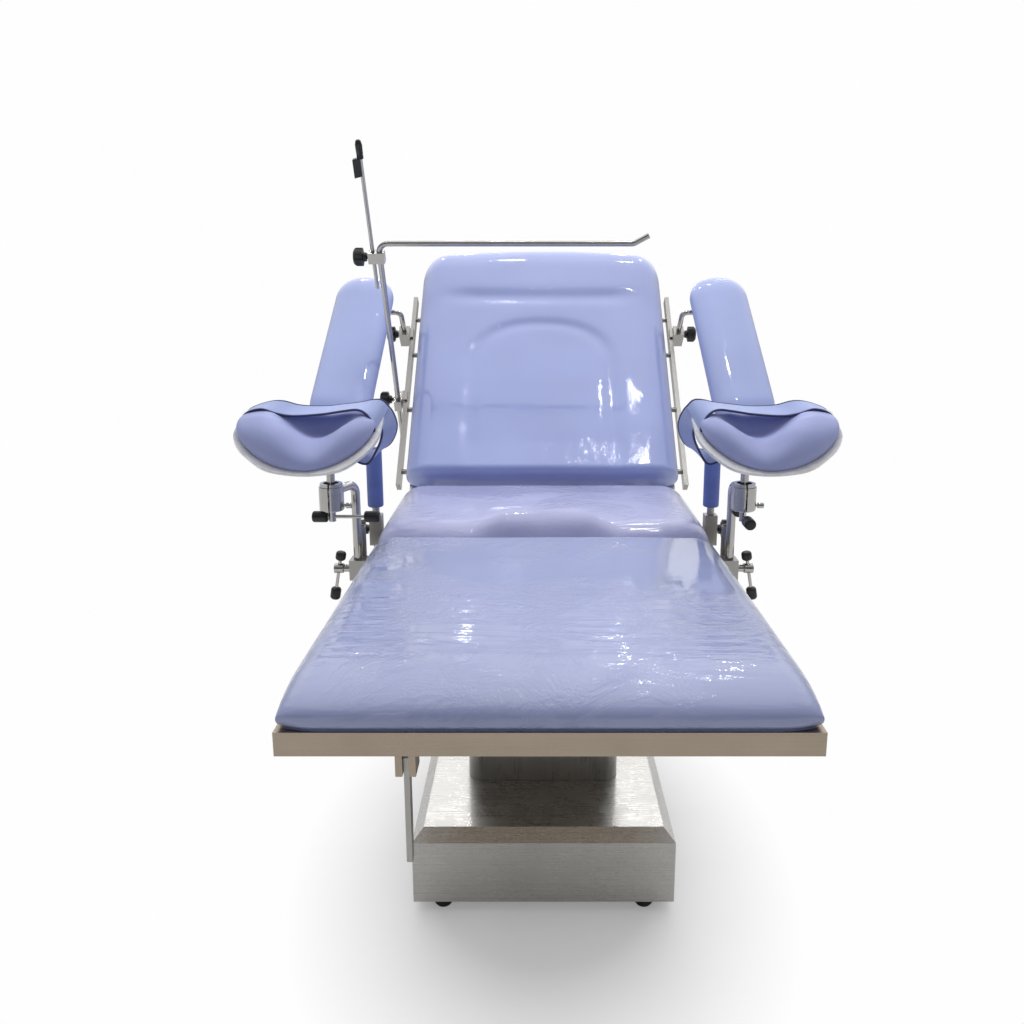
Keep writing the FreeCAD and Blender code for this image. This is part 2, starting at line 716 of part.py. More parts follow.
def make_back_frame():
    tube = d.back_tube
    low, high = 24, d.back_length - 27
    parts = []
    for side, side_name in SIDES:
        place = on_back(side * back_tube_x, (low + high) / 2, -tube / 2)
        parts.append(block("back_tube_" + side_name, cell("back_tube"), high - low, cell("back_tube"), place))
        lug = [(-13, -13), (60, -d.back_tube), (60, -1), (13, -1), (13, 13), (-13, 13)]
        parts.append(ear("back_lug_" + side_name, lug, [12.5, 0, 0, 0, 12.5, 12.5], d.hinge_pin_radius + 1 + d.running_gap, 10,
                         on_back(side * back_lug_x, 0, 0, ALONG_X)))
    for number, station in enumerate((46, 230, 420, 610, high - tube / 2)):
        parts.append(block("back_cross_%d" % number, 2 * back_tube_x, tube, 20, on_back(0, station, -10)))
    slant = math.radians(lever_turn)
    for offset, name in ((-13, "inner"), (13, "outer")):
        away = (-math.sin(slant), -math.cos(slant))
        across = (away[1], -away[0])
        end = d.back_lever_length
        points = [(away[0] * end + across[0] * 19, away[1] * end + across[1] * 19),
                  (away[0] * end - across[0] * 19, away[1] * end - across[1] * 19),
                  (58, -14), (58, -1), (20, -1)]
        body = plate("back_lever_" + name, [(points, [17, 17, 0, 0, 0])], 8,
                     on_back(d.back_actuator_side + offset, 0, 0, ALONG_X), middle=True)
        slot_near = d.back_actuator_drop - 12
        slot_far = d.back_lever_length - 6
        half_slot = 11.5
        slot = []
        for along, side in ((slot_near, -1), (slot_far, -1), (slot_far, 1), (slot_near, 1)):
            slot.append((away[0] * along + across[0] * half_slot * side, away[1] * along + across[1] * half_slot * side))
        cut_pocket(body, "lever_slot_" + name, [(slot, 11)], 20, 10, upward=False)
        parts.append(body)
    keep(fused("back_weldment", parts), "back_frame")


def make_back_pan():
    width = 2 * (half_width - 4)
    points = [(-width / 2, d.back_start), (width / 2, d.back_start), (width / 2, d.back_length - 8),
              (-width / 2, d.back_length - 8)]
    keep(plate("back_sheet", [(points, [6, 6, 88, 88])], d.sheet_wall, on_back(0, 0, 0), formula=cell("sheet_wall")),
         "back_pan")


def make_back_cushion():
    """Crowned moulded cushion: rolled edges, a wide shallow arch pressed into its face."""
    height = d.back_cushion_thick
    points = [(-cushion_half, d.back_start), (cushion_half, d.back_start), (cushion_half, d.back_length),
              (-cushion_half, d.back_length)]
    foam = plate("back_foam", [(points, [16, 16, 90, 90])], height, on_back(0, 0, d.sheet_wall))
    pad = foam.Tip
    round_edges(foam, "back_roll", pad, lambda point: point.z > height - 0.01, 30)
    keep(foam, "back_cushion")


def make_back_rails():
    parts = []
    low, high = 60, 612
    level = -10
    for side, side_name in SIDES:
        bar = block("back_bar_" + side_name, cell("rail_thick"), high - low, cell("rail_height"),
                    on_back(side * (back_rail_inner + d.rail_thick / 2), (low + high) / 2, level))
        gap = back_rail_inner - (back_tube_x + d.back_tube / 2)
        spacers = []
        for number, station in enumerate((100, 270, 433, 545)):
            place = on_back(side * (back_tube_x + d.back_tube / 2 + gap / 2), station, level, ALONG_X)
            spacers.append(rod("back_spacer_%s_%d" % (side_name, number), 6, -gap / 2, gap / 2, place))
        parts.append(fused("back_rail_" + side_name, [bar] + spacers))
    keep(group("back_rail_pair", parts), "back_rails")


def make_back_rod():
    """Moving half of the back drive: its cross roller works in the slots of the twin levers."""
    lean = math.radians(d.back_angle - lever_turn)
    contact = d.back_hinge_reach + d.back_actuator_drop * math.tan(lean)
    place = at(d.back_actuator_side, 0, rod_level, Rotation(Vector(1, 0, 0), -90))
    stem = rod("back_stem", 8, 150, contact - 8, place)
    eye = rod("back_rod_eye", 13, -8, 8, at(d.back_actuator_side, contact, rod_level, ALONG_X))
    roller = rod("back_roller", 7.5, -18, 18, at(d.back_actuator_side, contact, rod_level, ALONG_X))
    keep(fused("back_rod_solid", [stem, eye, roller]), "back_actuator_rod")


make_back_tube()
make_back_rod()
make_back_frame()
make_back_pan()
make_back_cushion()
make_back_rails()


# Leg section: folded stainless tray with hinge ears, cushion, and the latch release lever
tray_rear = -4
lever_x = -160
lever_y = -570
lever_pin_level = apron_bottom - 18


def make_leg_tray():
    length = d.leg_length + tray_rear
    middle = tray_rear - length / 2
    body = plate("tray", [(centred(d.table_width, length), 0)], d.apron_height, at(0, middle, apron_bottom),
                 formula=cell("apron_height"))
    inner_half = half_width - d.sheet_wall
    inner = rectangle(-inner_half, -length / 2 + d.sheet_wall, inner_half, length / 2 + 1)
    cut_pocket(body, "tray_hollow", [(inner, 0)], d.apron_height - d.sheet_wall, 0)
    parts = [body]
    for side, side_name in SIDES:
        points = [(-46, -13.5), (11, -11), (11, 11), (-46, 12.1)]
        parts.append(ear("tray_ear_" + side_name, points, [3, 10.9, 10.9, 0], d.hinge_pin_radius + d.running_gap, 8,
                         at(side * (leg_ear_x + 8 + d.joint_gap), 0, leg_pin_level, ALONG_X)))
    for number, station in enumerate((-400, -200)):
        parts.append(block("tray_rib_%d" % number, d.table_width - 2 * d.sheet_wall, 30, 14,
                           at(0, station, d.frame_top - d.sheet_wall - 7)))
    top = d.frame_top - d.sheet_wall
    holder_low = lever_pin_level - 16
    holder = block("lever_holder", 23, 30, top - holder_low, at(lever_x, lever_y, (top + holder_low) / 2))
    slot = block("lever_holder_slot", 7.2, 31, 44, at(lever_x, lever_y, lever_pin_level + 2))
    bored = cut("lever_holder_cut", holder, slot)
    pin = rod("lever_pin", 3, -11, 11, at(lever_x, lever_y, lever_pin_level, ALONG_X))
    parts.append(fused("lever_clevis", [bored, pin]))
    keep(fused("tray_weldment", parts), "leg_tray")


def make_lever():
    points = [(-7, -132), (7, -132), (8, 8), (-8, 8)]
    bar = plate("lever_bar", [(points, [6, 6, 7, 7]), (0, 0, 3 + d.running_gap)], 6.4,
                at(lever_x, lever_y, lever_pin_level, ALONG_X), middle=True)
    keep(bar, "release_lever")


def make_leg_cushion():
    height = d.leg_cushion_thick
    rear = -3
    points = [(-cushion_half, -d.leg_length), (cushion_half, -d.leg_length), (cushion_half, rear), (-cushion_half, rear)]
    foam = plate("leg_foam", [(points, [24, 24, 12, 12])], height, at(0, 0, d.frame_top))
    pad = foam.Tip
    round_edges(foam, "leg_roll", pad, lambda point: point.z > height - 0.01, 11)
    keep(foam, "leg_cushion")


make_leg_tray()
make_lever()
make_leg_cushion()


# Leg holders: rail clamp with tommy-bar screw, bent post with ball housing, and the crutch
block_outer = rail_outer + 38
post_x = rail_outer + 24
clamp_half = 16
screw_level = d.seat_rail_level
rail_low = d.seat_rail_level - d.rail_height / 2
rail_high = d.seat_rail_level + d.rail_height / 2


def rail_jaw(name, side, face, outer, half_length, place, low, high, reach):
    """A clamp block outside a rail's face, with two lips hooked over the rail's edges."""
    lip = 6
    gap = d.joint_gap
    seat = face + gap
    tip = face - 0.8 * d.rail_thick
    top = high + lip + gap
    bottom = low - lip - gap
    points = [(outer, bottom), (outer, top + reach), (seat, top + reach)]
    if reach:
        points.append((seat, top))
    points += [(tip, top), (tip, high + gap), (seat, high + gap), (seat, low - gap), (tip, low - gap), (tip, bottom)]
    if not reach:
        points.remove((seat, top + reach))
    return plate(name, [([(side * x, z) for x, z in points], 0)], 2 * half_length, place, middle=True)


def make_leg_clamp(side, side_name):
    body = rail_jaw("leg_jaw_" + side_name, side, rail_outer, block_outer, clamp_half,
                    at(0, d.post_station, 0, ALONG_Y), rail_low, rail_high, 0)
    spare_y = d.post_station + 24
    ledge = block("leg_ledge_" + side_name, 24, 24, 12, at(side * post_x, spare_y + 3, rail_high - 8))
    sleeve_place = at(side * post_x, spare_y + 4, rail_high - 2)
    sleeve = plate("spare_sleeve_" + side_name, [(0, 0, 10), (0, 0, 8.1)], 62, sleeve_place)
    bore_place = at(side * post_x, d.post_station, d.seat_rail_level)
    bore = rod("post_bore_" + side_name, d.post_radius + d.running_gap, -60, 60, bore_place)
    thread = rod("screw_bore_" + side_name, 5 + d.running_gap, -20, 20,
                 at(side * block_outer, d.post_station, screw_level, ALONG_X))
    solid = fused("leg_clamp_solid_" + side_name, [body, ledge, sleeve])
    keep(cut("leg_clamp_bored_" + side_name, solid, fused("leg_clamp_holes_" + side_name, [bore, thread])),
         "leg_clamp_" + side_name)


def make_leg_screw(side, side_name):
    """Clamping spindle with a cross bar and two round ends."""
    x = block_outer + 22
    turn = Rotation(Vector(0, 1, 0), 90 * side)
    place = at(side * block_outer, d.post_station, screw_level, turn)
    tip = post_x + d.post_radius + d.joint_gap - block_outer
    profile = [(0, tip), (5, tip), (5, 1), (7, 1), (7, 12), (9, 14), (9, 30), (0, 30)]
    spindle = turned("spindle_" + side_name, profile, place)
    bar_turn = Rotation(Vector(0, 1, 0), -side * 10)
    bar_place = at(side * x, d.post_station, screw_level, bar_turn)
    bar = rod("tommy_bar_" + side_name, 3, -52, 24, bar_place)
    lower = turned("tommy_lower_" + side_name, [(0, -60), (7, -60), (9, -57), (9, -42), (5, -38), (0, -38)], bar_place)
    upper = turned("tommy_upper_" + side_name, [(0, 16), (5, 16), (9, 20), (9, 27), (6, 32), (0, 32)], bar_place)
    keep(fused("leg_screw_" + side_name, [spindle, bar, lower, upper]), "leg_clamp_screw_" + side_name)


def reach_out(side):
    return d.right_reach_out if side > 0 else d.left_reach_out


def housing_place(side):
    x = post_x + reach_out(side)
    return at(side * x, d.post_station - d.holder_reach_front, d.post_level - 8)


def make_leg_post(side, side_name):
    """Bent post whose arm ends in the split ball housing."""
    low = rail_low - 4
    reach = math.hypot(reach_out(side), d.holder_reach_front)
    heading = math.degrees(math.atan2(-d.holder_reach_front, side * reach_out(side)))
    place = at(side * post_x, d.post_station, 0, Rotation(Vector(0, 0, 1), heading))
    points = [(0, low), (0, d.post_level), (reach - 10, d.post_level)]
    post = bent_rod("post_" + side_name, points, 20, d.post_radius, place)
    half = d.housing_height / 2
    lower = -half
    profile = [(0, lower), (d.housing_radius - 2, lower), (d.housing_radius, lower + 2), (d.housing_radius, half - 6),
               (d.housing_radius - 2, half - 6), (d.housing_radius - 2, half), (0, half)]
    body = turned("housing_" + side_name, profile, housing_place(side))
    seat = d.ball_radius + d.joint_gap
    profile = [(0, lower - 1), (6.1, lower - 1), (6.1, -14), (seat, -10), (seat, 4), (d.ball_radius, half + 1),
               (0, half + 1)]
    hollow = turned("housing_hollow_" + side_name, profile, housing_place(side))
    split = block("housing_split_" + side_name, 3, 2 * d.housing_radius, d.housing_height + 2,
                  housing_place(side).multiply(Placement(Vector(0, -d.housing_radius - 2, 0), UPRIGHT)))
    screw_place = housing_place(side).multiply(Placement(Vector(0, 0, -16), ALONG_X))
    screw = turned("set_screw_" + side_name, [(0, 12), (3, 12), (3, 24), (5, 25), (5, 34), (4, 35), (0, 35)], screw_place)
    solid = fused("post_solid_" + side_name, [post, body, screw])
    keep(cut("post_bored_" + side_name, solid, fused("post_holes_" + side_name, [hollow, split])), "leg_post_" + side_name)


def crutch_place(side):
    """The crutch's own frame: its middle above the ball, its +Z leaning to the foot end."""
    x = post_x + reach_out(side)
    return at(side * (x + d.crutch_offset), d.post_station - d.holder_reach_front - 4, d.post_level + 78,
              Rotation(Vector(1, 0, 0), d.crutch_tilt))


stem_low, stem_high = 6, 74


def make_crutch_stem(side, side_name):
    place = housing_place(side)
    ball = doc.addObject("Part::Sphere", "ball_" + side_name)
    bind(ball, Radius=cell("ball_radius"))
    ball.Placement = place
    stem = rod("stem_" + side_name, 7, stem_low, stem_high, place)
    keep(fused("crutch_stem_solid_" + side_name, [ball, stem]), "crutch_stem_" + side_name)


def trough(name, side, inner, thick, grow):
    """A dished saddle: a band of arc drawn across the crutch, cut to a kidney outline from above."""
    outer = inner + thick
    reach = math.radians(62)
    band = doc.addObject("PartDesign::Body", name + "_band")
    sketch = new_sketch(band, "XY_Plane", name + "_band_outline")
    centre = Vector(0, d.trough_radius, 0)
    low_a = -math.pi / 2 - reach
    low_b = -math.pi / 2 + reach
    for radius in (d.trough_radius - inner, d.trough_radius - outer):
        sketch.addGeometry(Part.ArcOfCircle(Part.Circle(centre, Vector(0, 0, 1), radius), low_a, low_b))
    for angle in (low_a, low_b):
        ray = Vector(math.cos(angle), math.sin(angle), 0)
        lower = centre + ray * (d.trough_radius - inner)
        upper = centre + ray * (d.trough_radius - outer)
        sketch.addGeometry(Part.LineSegment(lower, upper))
    pad = band.newObject("PartDesign::Pad", name + "_band_pad")
    pad.Profile = sketch
    pad.Length = 2 * d.crutch_depth
    pad.SideType = "Symmetric"
    band.Placement = crutch_place(side).multiply(Placement(Vector(0, 0, 0), ALONG_Y))
    half_w = d.crutch_width / 2 + grow
    half_d = d.crutch_depth / 2 + grow
    points = [(-half_w, -half_d * 0.55), (-half_w * 0.55, -half_d), (half_w * 0.55, -half_d), (half_w, -half_d * 0.55),
              (half_w, half_d * 0.8), (half_w * 0.55, half_d), (-half_w * 0.55, half_d), (-half_w, half_d * 0.8)]
    shape = plate(name + "_kidney", [(points, [46, 60, 60, 46, 34, 40, 40, 34])], 300,
                  crutch_place(side).multiply(Placement(Vector(0, 0, -100), UPRIGHT)))
    common = doc.addObject("Part::Common", name)
    common.Base = band
    common.Tool = shape
    return common


def make_crutch(side, side_name):
    shell = trough("crutch_shell_form_" + side_name, side, 0, d.crutch_shell_thick, 3)
    boss_place = crutch_place(side).multiply(Placement(Vector(-side * d.crutch_offset, 0, 0), UPRIGHT))
    boss = rod("crutch_boss_" + side_name, 16, -22, 4.5, boss_place)
    clear = rod("crutch_boss_clear_" + side_name, 7, stem_low, stem_high, housing_place(side))
    keep(cut("crutch_shell_bored_" + side_name, fused("crutch_shell_solid_" + side_name, [shell, boss]), clear),
         "crutch_shell_" + side_name)
    pad = trough("crutch_pad_form_" + side_name, side, d.crutch_shell_thick, d.crutch_pad_thick, -2)
    keep(pad, "crutch_pad_" + side_name)


def make_handle(side, side_name):
    """T-handle screw under the ball housing: the left bar is slid inward, the right one stands turned a quarter."""
    place = housing_place(side)
    low = -d.housing_height / 2
    spindle = rod("handle_spindle_" + side_name, 6, low - 20, -15, place)
    if side < 0:
        turn, slid, reach = Rotation(Vector(0, 1, 0), 90), 24, 58
    else:
        turn, slid, reach = Rotation(Vector(1, 0, 0), 90), 0, 55
    bar_centre = place.multiply(Placement(Vector(0, 0, low - 12), turn))
    bar_place = bar_centre.multiply(Placement(Vector(0, 0, slid), UPRIGHT))
    bar = rod("handle_bar_" + side_name, 3, -reach + 4, reach - 4, bar_place)
    ends = []
    for end, name in ((1, "near"), (-1, "far")):
        profile = [(0, end * (reach - 26)), (6, end * (reach - 26)), (9.5, end * (reach - 20)), (9.5, end * (reach - 4)),
                   (6, end * reach), (0, end * reach)]
        if end < 0:
            profile.reverse()
        ends.append(turned("handle_end_%s_%s" % (name, side_name), profile, bar_place))
    keep(fused("handle_solid_" + side_name, [spindle, bar] + ends), "holder_handle_" + side_name)


for side, side_name in SIDES:
    make_leg_clamp(side, side_name)
    make_leg_screw(side, side_name)
    make_leg_post(side, side_name)
    make_crutch_stem(side, side_name)
    make_crutch(side, side_name)
    make_handle(side, side_name)


# Hand grips on the seat rails, and the star knobs used on every rail clamp
def star_knob(name, place, screw_length):
    """Five-lobed knob on its clamping screw, turned about +Z."""
    radius = 19
    height = 20
    profile = [(0, -screw_length), (4, -screw_length), (4, -6), (9, -6), (10, 0), (radius, 2), (radius, height - 4),
               (radius - 4, height), (0, height)]
    body = turned(name, profile, place)
    doc.recompute()
    sketch = new_sketch(body, "XY_Plane", name + "_scallop", -1)
    circle(sketch, radius + 5, 0, 9)
    pocket = body.newObject("PartDesign::Pocket", name + "_scoop")
    pocket.Profile = sketch
    pocket.Length = height + 2
    pocket.Reversed = True
    pattern = body.newObject("PartDesign::PolarPattern", name + "_lobes")
    pattern.Originals = [pocket]
    pattern.Axis = (sketch, ["N_Axis"])
    pattern.Angle = 360
    pattern.Occurrences = 5
    body.Tip = pattern
    return body


def outward(side):
    return Rotation(Vector(0, 1, 0), 90 * side)


def make_grip(side, side_name):
    half = 12
    upper = 60
    grip_x = rail_outer + 10
    body = rail_jaw("grip_jaw_" + side_name, side, rail_outer, rail_outer + 14, half,
                    at(0, d.grip_station, 0, ALONG_Y), rail_low, rail_high, 0)
    tower_place = at(side * grip_x, d.grip_station, rail_high + d.joint_gap + upper / 2)
    tower = block("grip_tower_" + side_name, 24, 24, upper, tower_place)
    level = rail_high + upper - 30
    thread = rod("grip_thread_" + side_name, 4 + d.running_gap, -9, 9,
                 at(side * (grip_x + 12), d.grip_station, level, ALONG_X))
    clamp = cut("grip_clamp_bored_" + side_name, fused("grip_clamp_" + side_name, [body, tower]), thread)
    top = rail_high + upper + d.joint_gap
    bar = rod("grip_bar_" + side_name, d.grip_rod_radius, 0, d.grip_length + 18, at(side * grip_x, d.grip_station, top))
    keep(fused("grip_bracket_solid_" + side_name, [clamp, bar]), "grip_bracket_" + side_name)
    outer = d.grip_radius
    cap = d.grip_length + 20
    profile = [(d.grip_rod_radius, 16), (outer - 2, 16), (outer, 18), (outer, cap - 6), (outer - 4, cap), (0, cap),
               (0, cap - 1.9), (d.grip_rod_radius, cap - 1.9)]
    foam = turned("grip_foam_form_" + side_name, profile, at(side * grip_x, d.grip_station, top))
    keep(foam, "grip_foam_" + side_name)
    knob_place = at(side * (grip_x + 12 + 10), d.grip_station, level, outward(side))
    keep(star_knob("grip_star_" + side_name, knob_place, 18), "grip_knob_" + side_name)


for side, side_name in SIDES:
    make_grip(side, side_name)


# Arm boards on the back rails
back_rail_low = -10 - d.rail_height / 2
back_rail_high = -10 + d.rail_height / 2
arm_post_x = back_rail_outer + 13


def make_arm(side, side_name):
    """Clamp, bent rod with board, cushion and knob of one arm rest."""
    half = 14
    jaw = rail_jaw("arm_jaw_" + side_name, side, back_rail_outer, back_rail_outer + 26, half,
                   on_back(0, d.arm_station, 0, ALONG_Y), back_rail_low, back_rail_high, 8)
    bore = rod("arm_bore_" + side_name, d.arm_rod_radius + d.running_gap, -60, 60,
               on_back(side * arm_post_x, d.arm_station, 0))
    thread = rod("arm_thread_" + side_name, 4 + d.running_gap, -6.5, 8,
                 on_back(side * (back_rail_outer + 26), d.arm_station, 2, ALONG_X))
    keep(cut("arm_clamp_bored_" + side_name, jaw, fused("arm_clamp_holes_" + side_name, [bore, thread])),
         "arm_clamp_" + side_name)
    arm_centre = half_width + d.arm_stand_off + d.arm_width / 2
    reach = arm_centre - arm_post_x + 18
    turn = UPRIGHT if side > 0 else Rotation(Vector(0, 0, 1), 180)
    bar = bent_rod("arm_bar_" + side_name, [(0, -30), (0, d.arm_post_height), (reach, d.arm_post_height)], 14,
                   d.arm_rod_radius, on_back(side * arm_post_x, d.arm_station, 0, turn))
    splay = Rotation(Vector(0, 0, 1), side * d.arm_splay)
    board_level = d.arm_post_height + d.arm_rod_radius + 2
    place = on_back(side * arm_centre, d.arm_station, board_level, splay)
    points = centred(d.arm_width - 10, d.arm_length - 14)
    middle = Placement(Vector(0, d.arm_head_reach - d.arm_length / 2, 0), UPRIGHT)
    board = plate("arm_sheet_" + side_name, [(points, 48)], 3, place.multiply(middle))
    saddle = block("arm_saddle_" + side_name, 44, 26, 16, place.multiply(Placement(Vector(0, 0, -7.5), UPRIGHT)))
    keep(fused("arm_bracket_solid_" + side_name, [bar, saddle, board]), "arm_bracket_" + side_name)
    points = centred(d.arm_width, d.arm_length)
    lift = Placement(Vector(0, d.arm_head_reach - d.arm_length / 2, 3.3), UPRIGHT)
    foam = plate("arm_foam_" + side_name, [(points, 52)], d.arm_cushion_thick, place.multiply(lift))
    pad = foam.Tip
    height = d.arm_cushion_thick
    round_edges(foam, "arm_roll_" + side_name, pad, lambda point: point.z > height - 0.01, 16)
    keep(foam, "arm_cushion_" + side_name)
    knob_place = on_back(side * (back_rail_outer + 26 + 10), d.arm_station, 2, outward(side))
    keep(star_knob("arm_star_" + side_name, knob_place, 16), "arm_knob_" + side_name)


for side, side_name in SIDES:
    make_arm(side, side_name)


# Drape screen: clamp on the left back rail, bent rod, cross clamp and extension rod
screen_x = -(back_rail_outer + 13)
screen_lean_turn = Rotation(Vector(1, 0, 0), d.screen_lean - 90)
screen_axle = on_back(screen_x, d.screen_station, -10)
rod_across = -15
extension_side = -14
cross_level = d.screen_rod_length - 30


def screen_at(x, across, up, turn=UPRIGHT):
    """A place on the screen: up its leaning rod from the clamp's axle."""
    point = screen_axle.Base + screen_lean_turn.multVec(Vector(x, across, up))
    return Placement(point, screen_lean_turn.multiply(turn))


def make_screen():
    outer = back_rail_outer + 4
    jaw = rail_jaw("screen_jaw", -1, back_rail_outer, outer, 13,
                   on_back(0, d.screen_station, 0, ALONG_Y), back_rail_low, back_rail_high, 0)
    axle = rod("screen_axle", 6, 0, 24, on_back(-outer + 1, d.screen_station, -10, outward(-1)))
    bore = rod("screen_axle_bore", 4 + d.running_gap, 9, 26, on_back(-outer + 1, d.screen_station, -10, outward(-1)))
    keep(cut("screen_clamp_bored", fused("screen_clamp_solid", [jaw, axle]), bore), "screen_clamp")
    knob_place = on_back(-outer - 33, d.screen_station, -10, outward(-1))
    keep(star_knob("screen_star", knob_place, 20), "screen_knob")

    level = d.screen_rod_length
    points = [(0, -d.screen_rod_tail), (0, level), (d.screen_bar_length, level), (d.screen_bar_length + 30, level + 18)]
    bar = bent_rod("screen_bar", points, 20, d.screen_rod_radius, screen_at(0, rod_across, 0))
    swivel = block("screen_swivel", 17, 46, 26, screen_at(0, rod_across / 2, 0))
    bore = rod("screen_swivel_bore", 6 + d.running_gap, -20, 20, screen_at(0, 0, 0, outward(-1)))
    cross = block("screen_cross", 34, 20, 24, screen_at(extension_side / 2, rod_across, cross_level))
    hole = rod("extension_bore", d.extension_radius + d.running_gap, -20, 20, screen_at(extension_side, rod_across, cross_level))
    thread = rod("cross_thread", 4 + d.running_gap, -1, 4.5,
                 screen_at(extension_side / 2 - 17 + 1, rod_across, cross_level, outward(1)))
    solid = fused("screen_rod_solid", [bar, swivel, cross])
    keep(cut("screen_rod_bored", solid, fused("screen_rod_holes", [bore, hole, thread])), "screen_rod")
    cross_outer = extension_side / 2 - 17
    knob_place = screen_at(cross_outer - 10, rod_across, cross_level, outward(-1))
    keep(star_knob("cross_star", knob_place, 13), "screen_cross_knob")

    low = cross_level - 72
    high = cross_level + 232
    place = screen_at(extension_side, rod_across, 0)
    stem = rod("extension_stem", d.extension_radius, low, high, place)
    sleeve = turned("extension_sleeve", [(0, high - 26), (6, high - 26), (6.5, high), (4, high + 8), (0, high + 9)], place)
    clip = plate("extension_clip", [([(-8, high - 64), (7, high - 60), (7, high - 24), (-8, high - 28)], [7, 3, 3, 5]),
                                    (-2, high - 38, 3), (-2, high - 51, 3)], 9,
                 screen_at(extension_side - 7, rod_across, 0, ALONG_Y), middle=True)
    keep(fused("extension_solid", [stem, sleeve, clip]), "screen_extension")


make_screen()


# Check every object, then write each sub-part
doc.recompute()
for obj in doc.Objects:
    if "Invalid" in obj.State or "Error" in obj.State:
        raise RuntimeError("%s did not rebuild: %s" % (obj.Name, obj.State))
for obj in nodes:
    if obj.Shape.isNull() or not obj.Shape.isValid():
        raise RuntimeError("%s has no valid shape" % obj.Label)
os.makedirs("parts", exist_ok=True)
for obj in nodes:
    obj.Shape.exportStep("parts/%s.step" % obj.Label)
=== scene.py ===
import math

import bmesh
import bpy
from mathutils import Matrix, Vector, noise


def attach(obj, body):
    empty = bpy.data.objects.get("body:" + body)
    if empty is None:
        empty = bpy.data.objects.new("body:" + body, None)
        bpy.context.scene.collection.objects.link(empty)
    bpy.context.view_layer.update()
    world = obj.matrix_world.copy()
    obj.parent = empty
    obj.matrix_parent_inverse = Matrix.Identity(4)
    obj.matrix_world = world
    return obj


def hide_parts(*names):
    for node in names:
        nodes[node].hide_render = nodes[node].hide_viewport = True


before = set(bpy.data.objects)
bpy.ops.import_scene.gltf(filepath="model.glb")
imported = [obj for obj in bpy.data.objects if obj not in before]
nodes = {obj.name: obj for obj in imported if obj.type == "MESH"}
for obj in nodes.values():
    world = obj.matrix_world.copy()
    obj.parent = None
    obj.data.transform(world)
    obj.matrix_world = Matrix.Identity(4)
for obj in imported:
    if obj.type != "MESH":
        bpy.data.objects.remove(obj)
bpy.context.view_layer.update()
scene = bpy.context.scene
scene.view_settings.view_transform = "Standard"

# Sizes shared with the solids, in metres
MIDDLE = -0.122
TOP = 0.655
HALF = 0.303
LEG = 0.600
SEAT = 0.336
BACK_HINGE = (0.350, TOP)
BACK_ANGLE = math.radians(48)
BACK_START, BACK_END = 0.044, 0.732
SIDES = ((-1, "left"), (1, "right"))

# How full the padded pieces are, and how far a cover swells over its foam
FILL = 0.9
SWELL_CAP, SWELL_PRESSURE, SWELL_FRAMES = 0.002, 2.0, 20


def spot(x, y, z):
    """A point of the table's own frame, which starts at the seat's front edge."""
    return Vector((x, y + MIDDLE, z))


BACK_TURN = Matrix.Rotation(BACK_ANGLE, 4, "X")
BACK_FRAME = Matrix.Translation(spot(0, *BACK_HINGE)) @ BACK_TURN
TABLE_FRAME = Matrix.Translation(spot(0, 0, 0))


# Material building
class Shade:
    """A node material with one Principled shader and short calls for the nodes that feed it."""

    def __init__(self, name):
        self.material = bpy.data.materials.new(name)
        self.material.use_nodes = True
        self.tree = self.material.node_tree
        self.bsdf = self.tree.nodes["Principled BSDF"]
        self.coords = self.tree.nodes.new("ShaderNodeTexCoord").outputs["Object"]

    def node(self, kind, settings=None, **inputs):
        made = self.tree.nodes.new(kind)
        for key, value in (settings or {}).items():
            setattr(made, key, value)
        for key, value in inputs.items():
            self.feed(made.inputs[key.replace("_", " ")], value)
        return made

    def feed(self, socket, value):
        if isinstance(value, bpy.types.NodeSocket):
            self.tree.links.new(value, socket)
        else:
            socket.default_value = value

    def set(self, **inputs):
        for key, value in inputs.items():
            self.feed(self.bsdf.inputs[key.replace("_", " ")], value)

    def stretched(self, x, y, z):
        return self.node("ShaderNodeMapping", Vector=self.coords, Scale=(x, y, z)).outputs[0]

    def along(self, axis):
        return self.node("ShaderNodeSeparateXYZ", Vector=self.coords).outputs[axis]

    def noise(self, scale, detail=3, rough=0.5, vector=None, distort=0):
        made = self.node("ShaderNodeTexNoise", Vector=vector or self.coords, Scale=scale,
                         Detail=detail, Roughness=rough, Distortion=distort)
        return made.outputs["Fac"]

    def cells(self, scale):
        return self.node("ShaderNodeTexVoronoi", Vector=self.coords, Scale=scale).outputs["Distance"]

    def span(self, value, low, high, new_low, new_high):
        made = self.node("ShaderNodeMapRange", Value=value)
        for index, amount in enumerate((low, high, new_low, new_high), start=1):
            made.inputs[index].default_value = amount
        return made.outputs[0]

    def math(self, operation, a, b):
        made = self.node("ShaderNodeMath", {"operation": operation})
        self.feed(made.inputs[0], a)
        self.feed(made.inputs[1], b)
        return made.outputs[0]

    def colours(self, value, *stops):
        made = self.node("ShaderNodeValToRGB", Fac=value)
        ramp = made.color_ramp
        while len(ramp.elements) < len(stops):
            ramp.elements.new(0.5)
        for element, (place, colour) in zip(ramp.elements, stops):
            element.position = place
            element.color = (*colour, 1)
        return made.outputs[0]

    def bump(self, height, depth, normal=None, strength=1.0):
        made = self.node("ShaderNodeBump", Height=height, Distance=depth, Strength=strength)
        if normal:
            self.feed(made.inputs["Normal"], normal)
        return made.outputs[0]


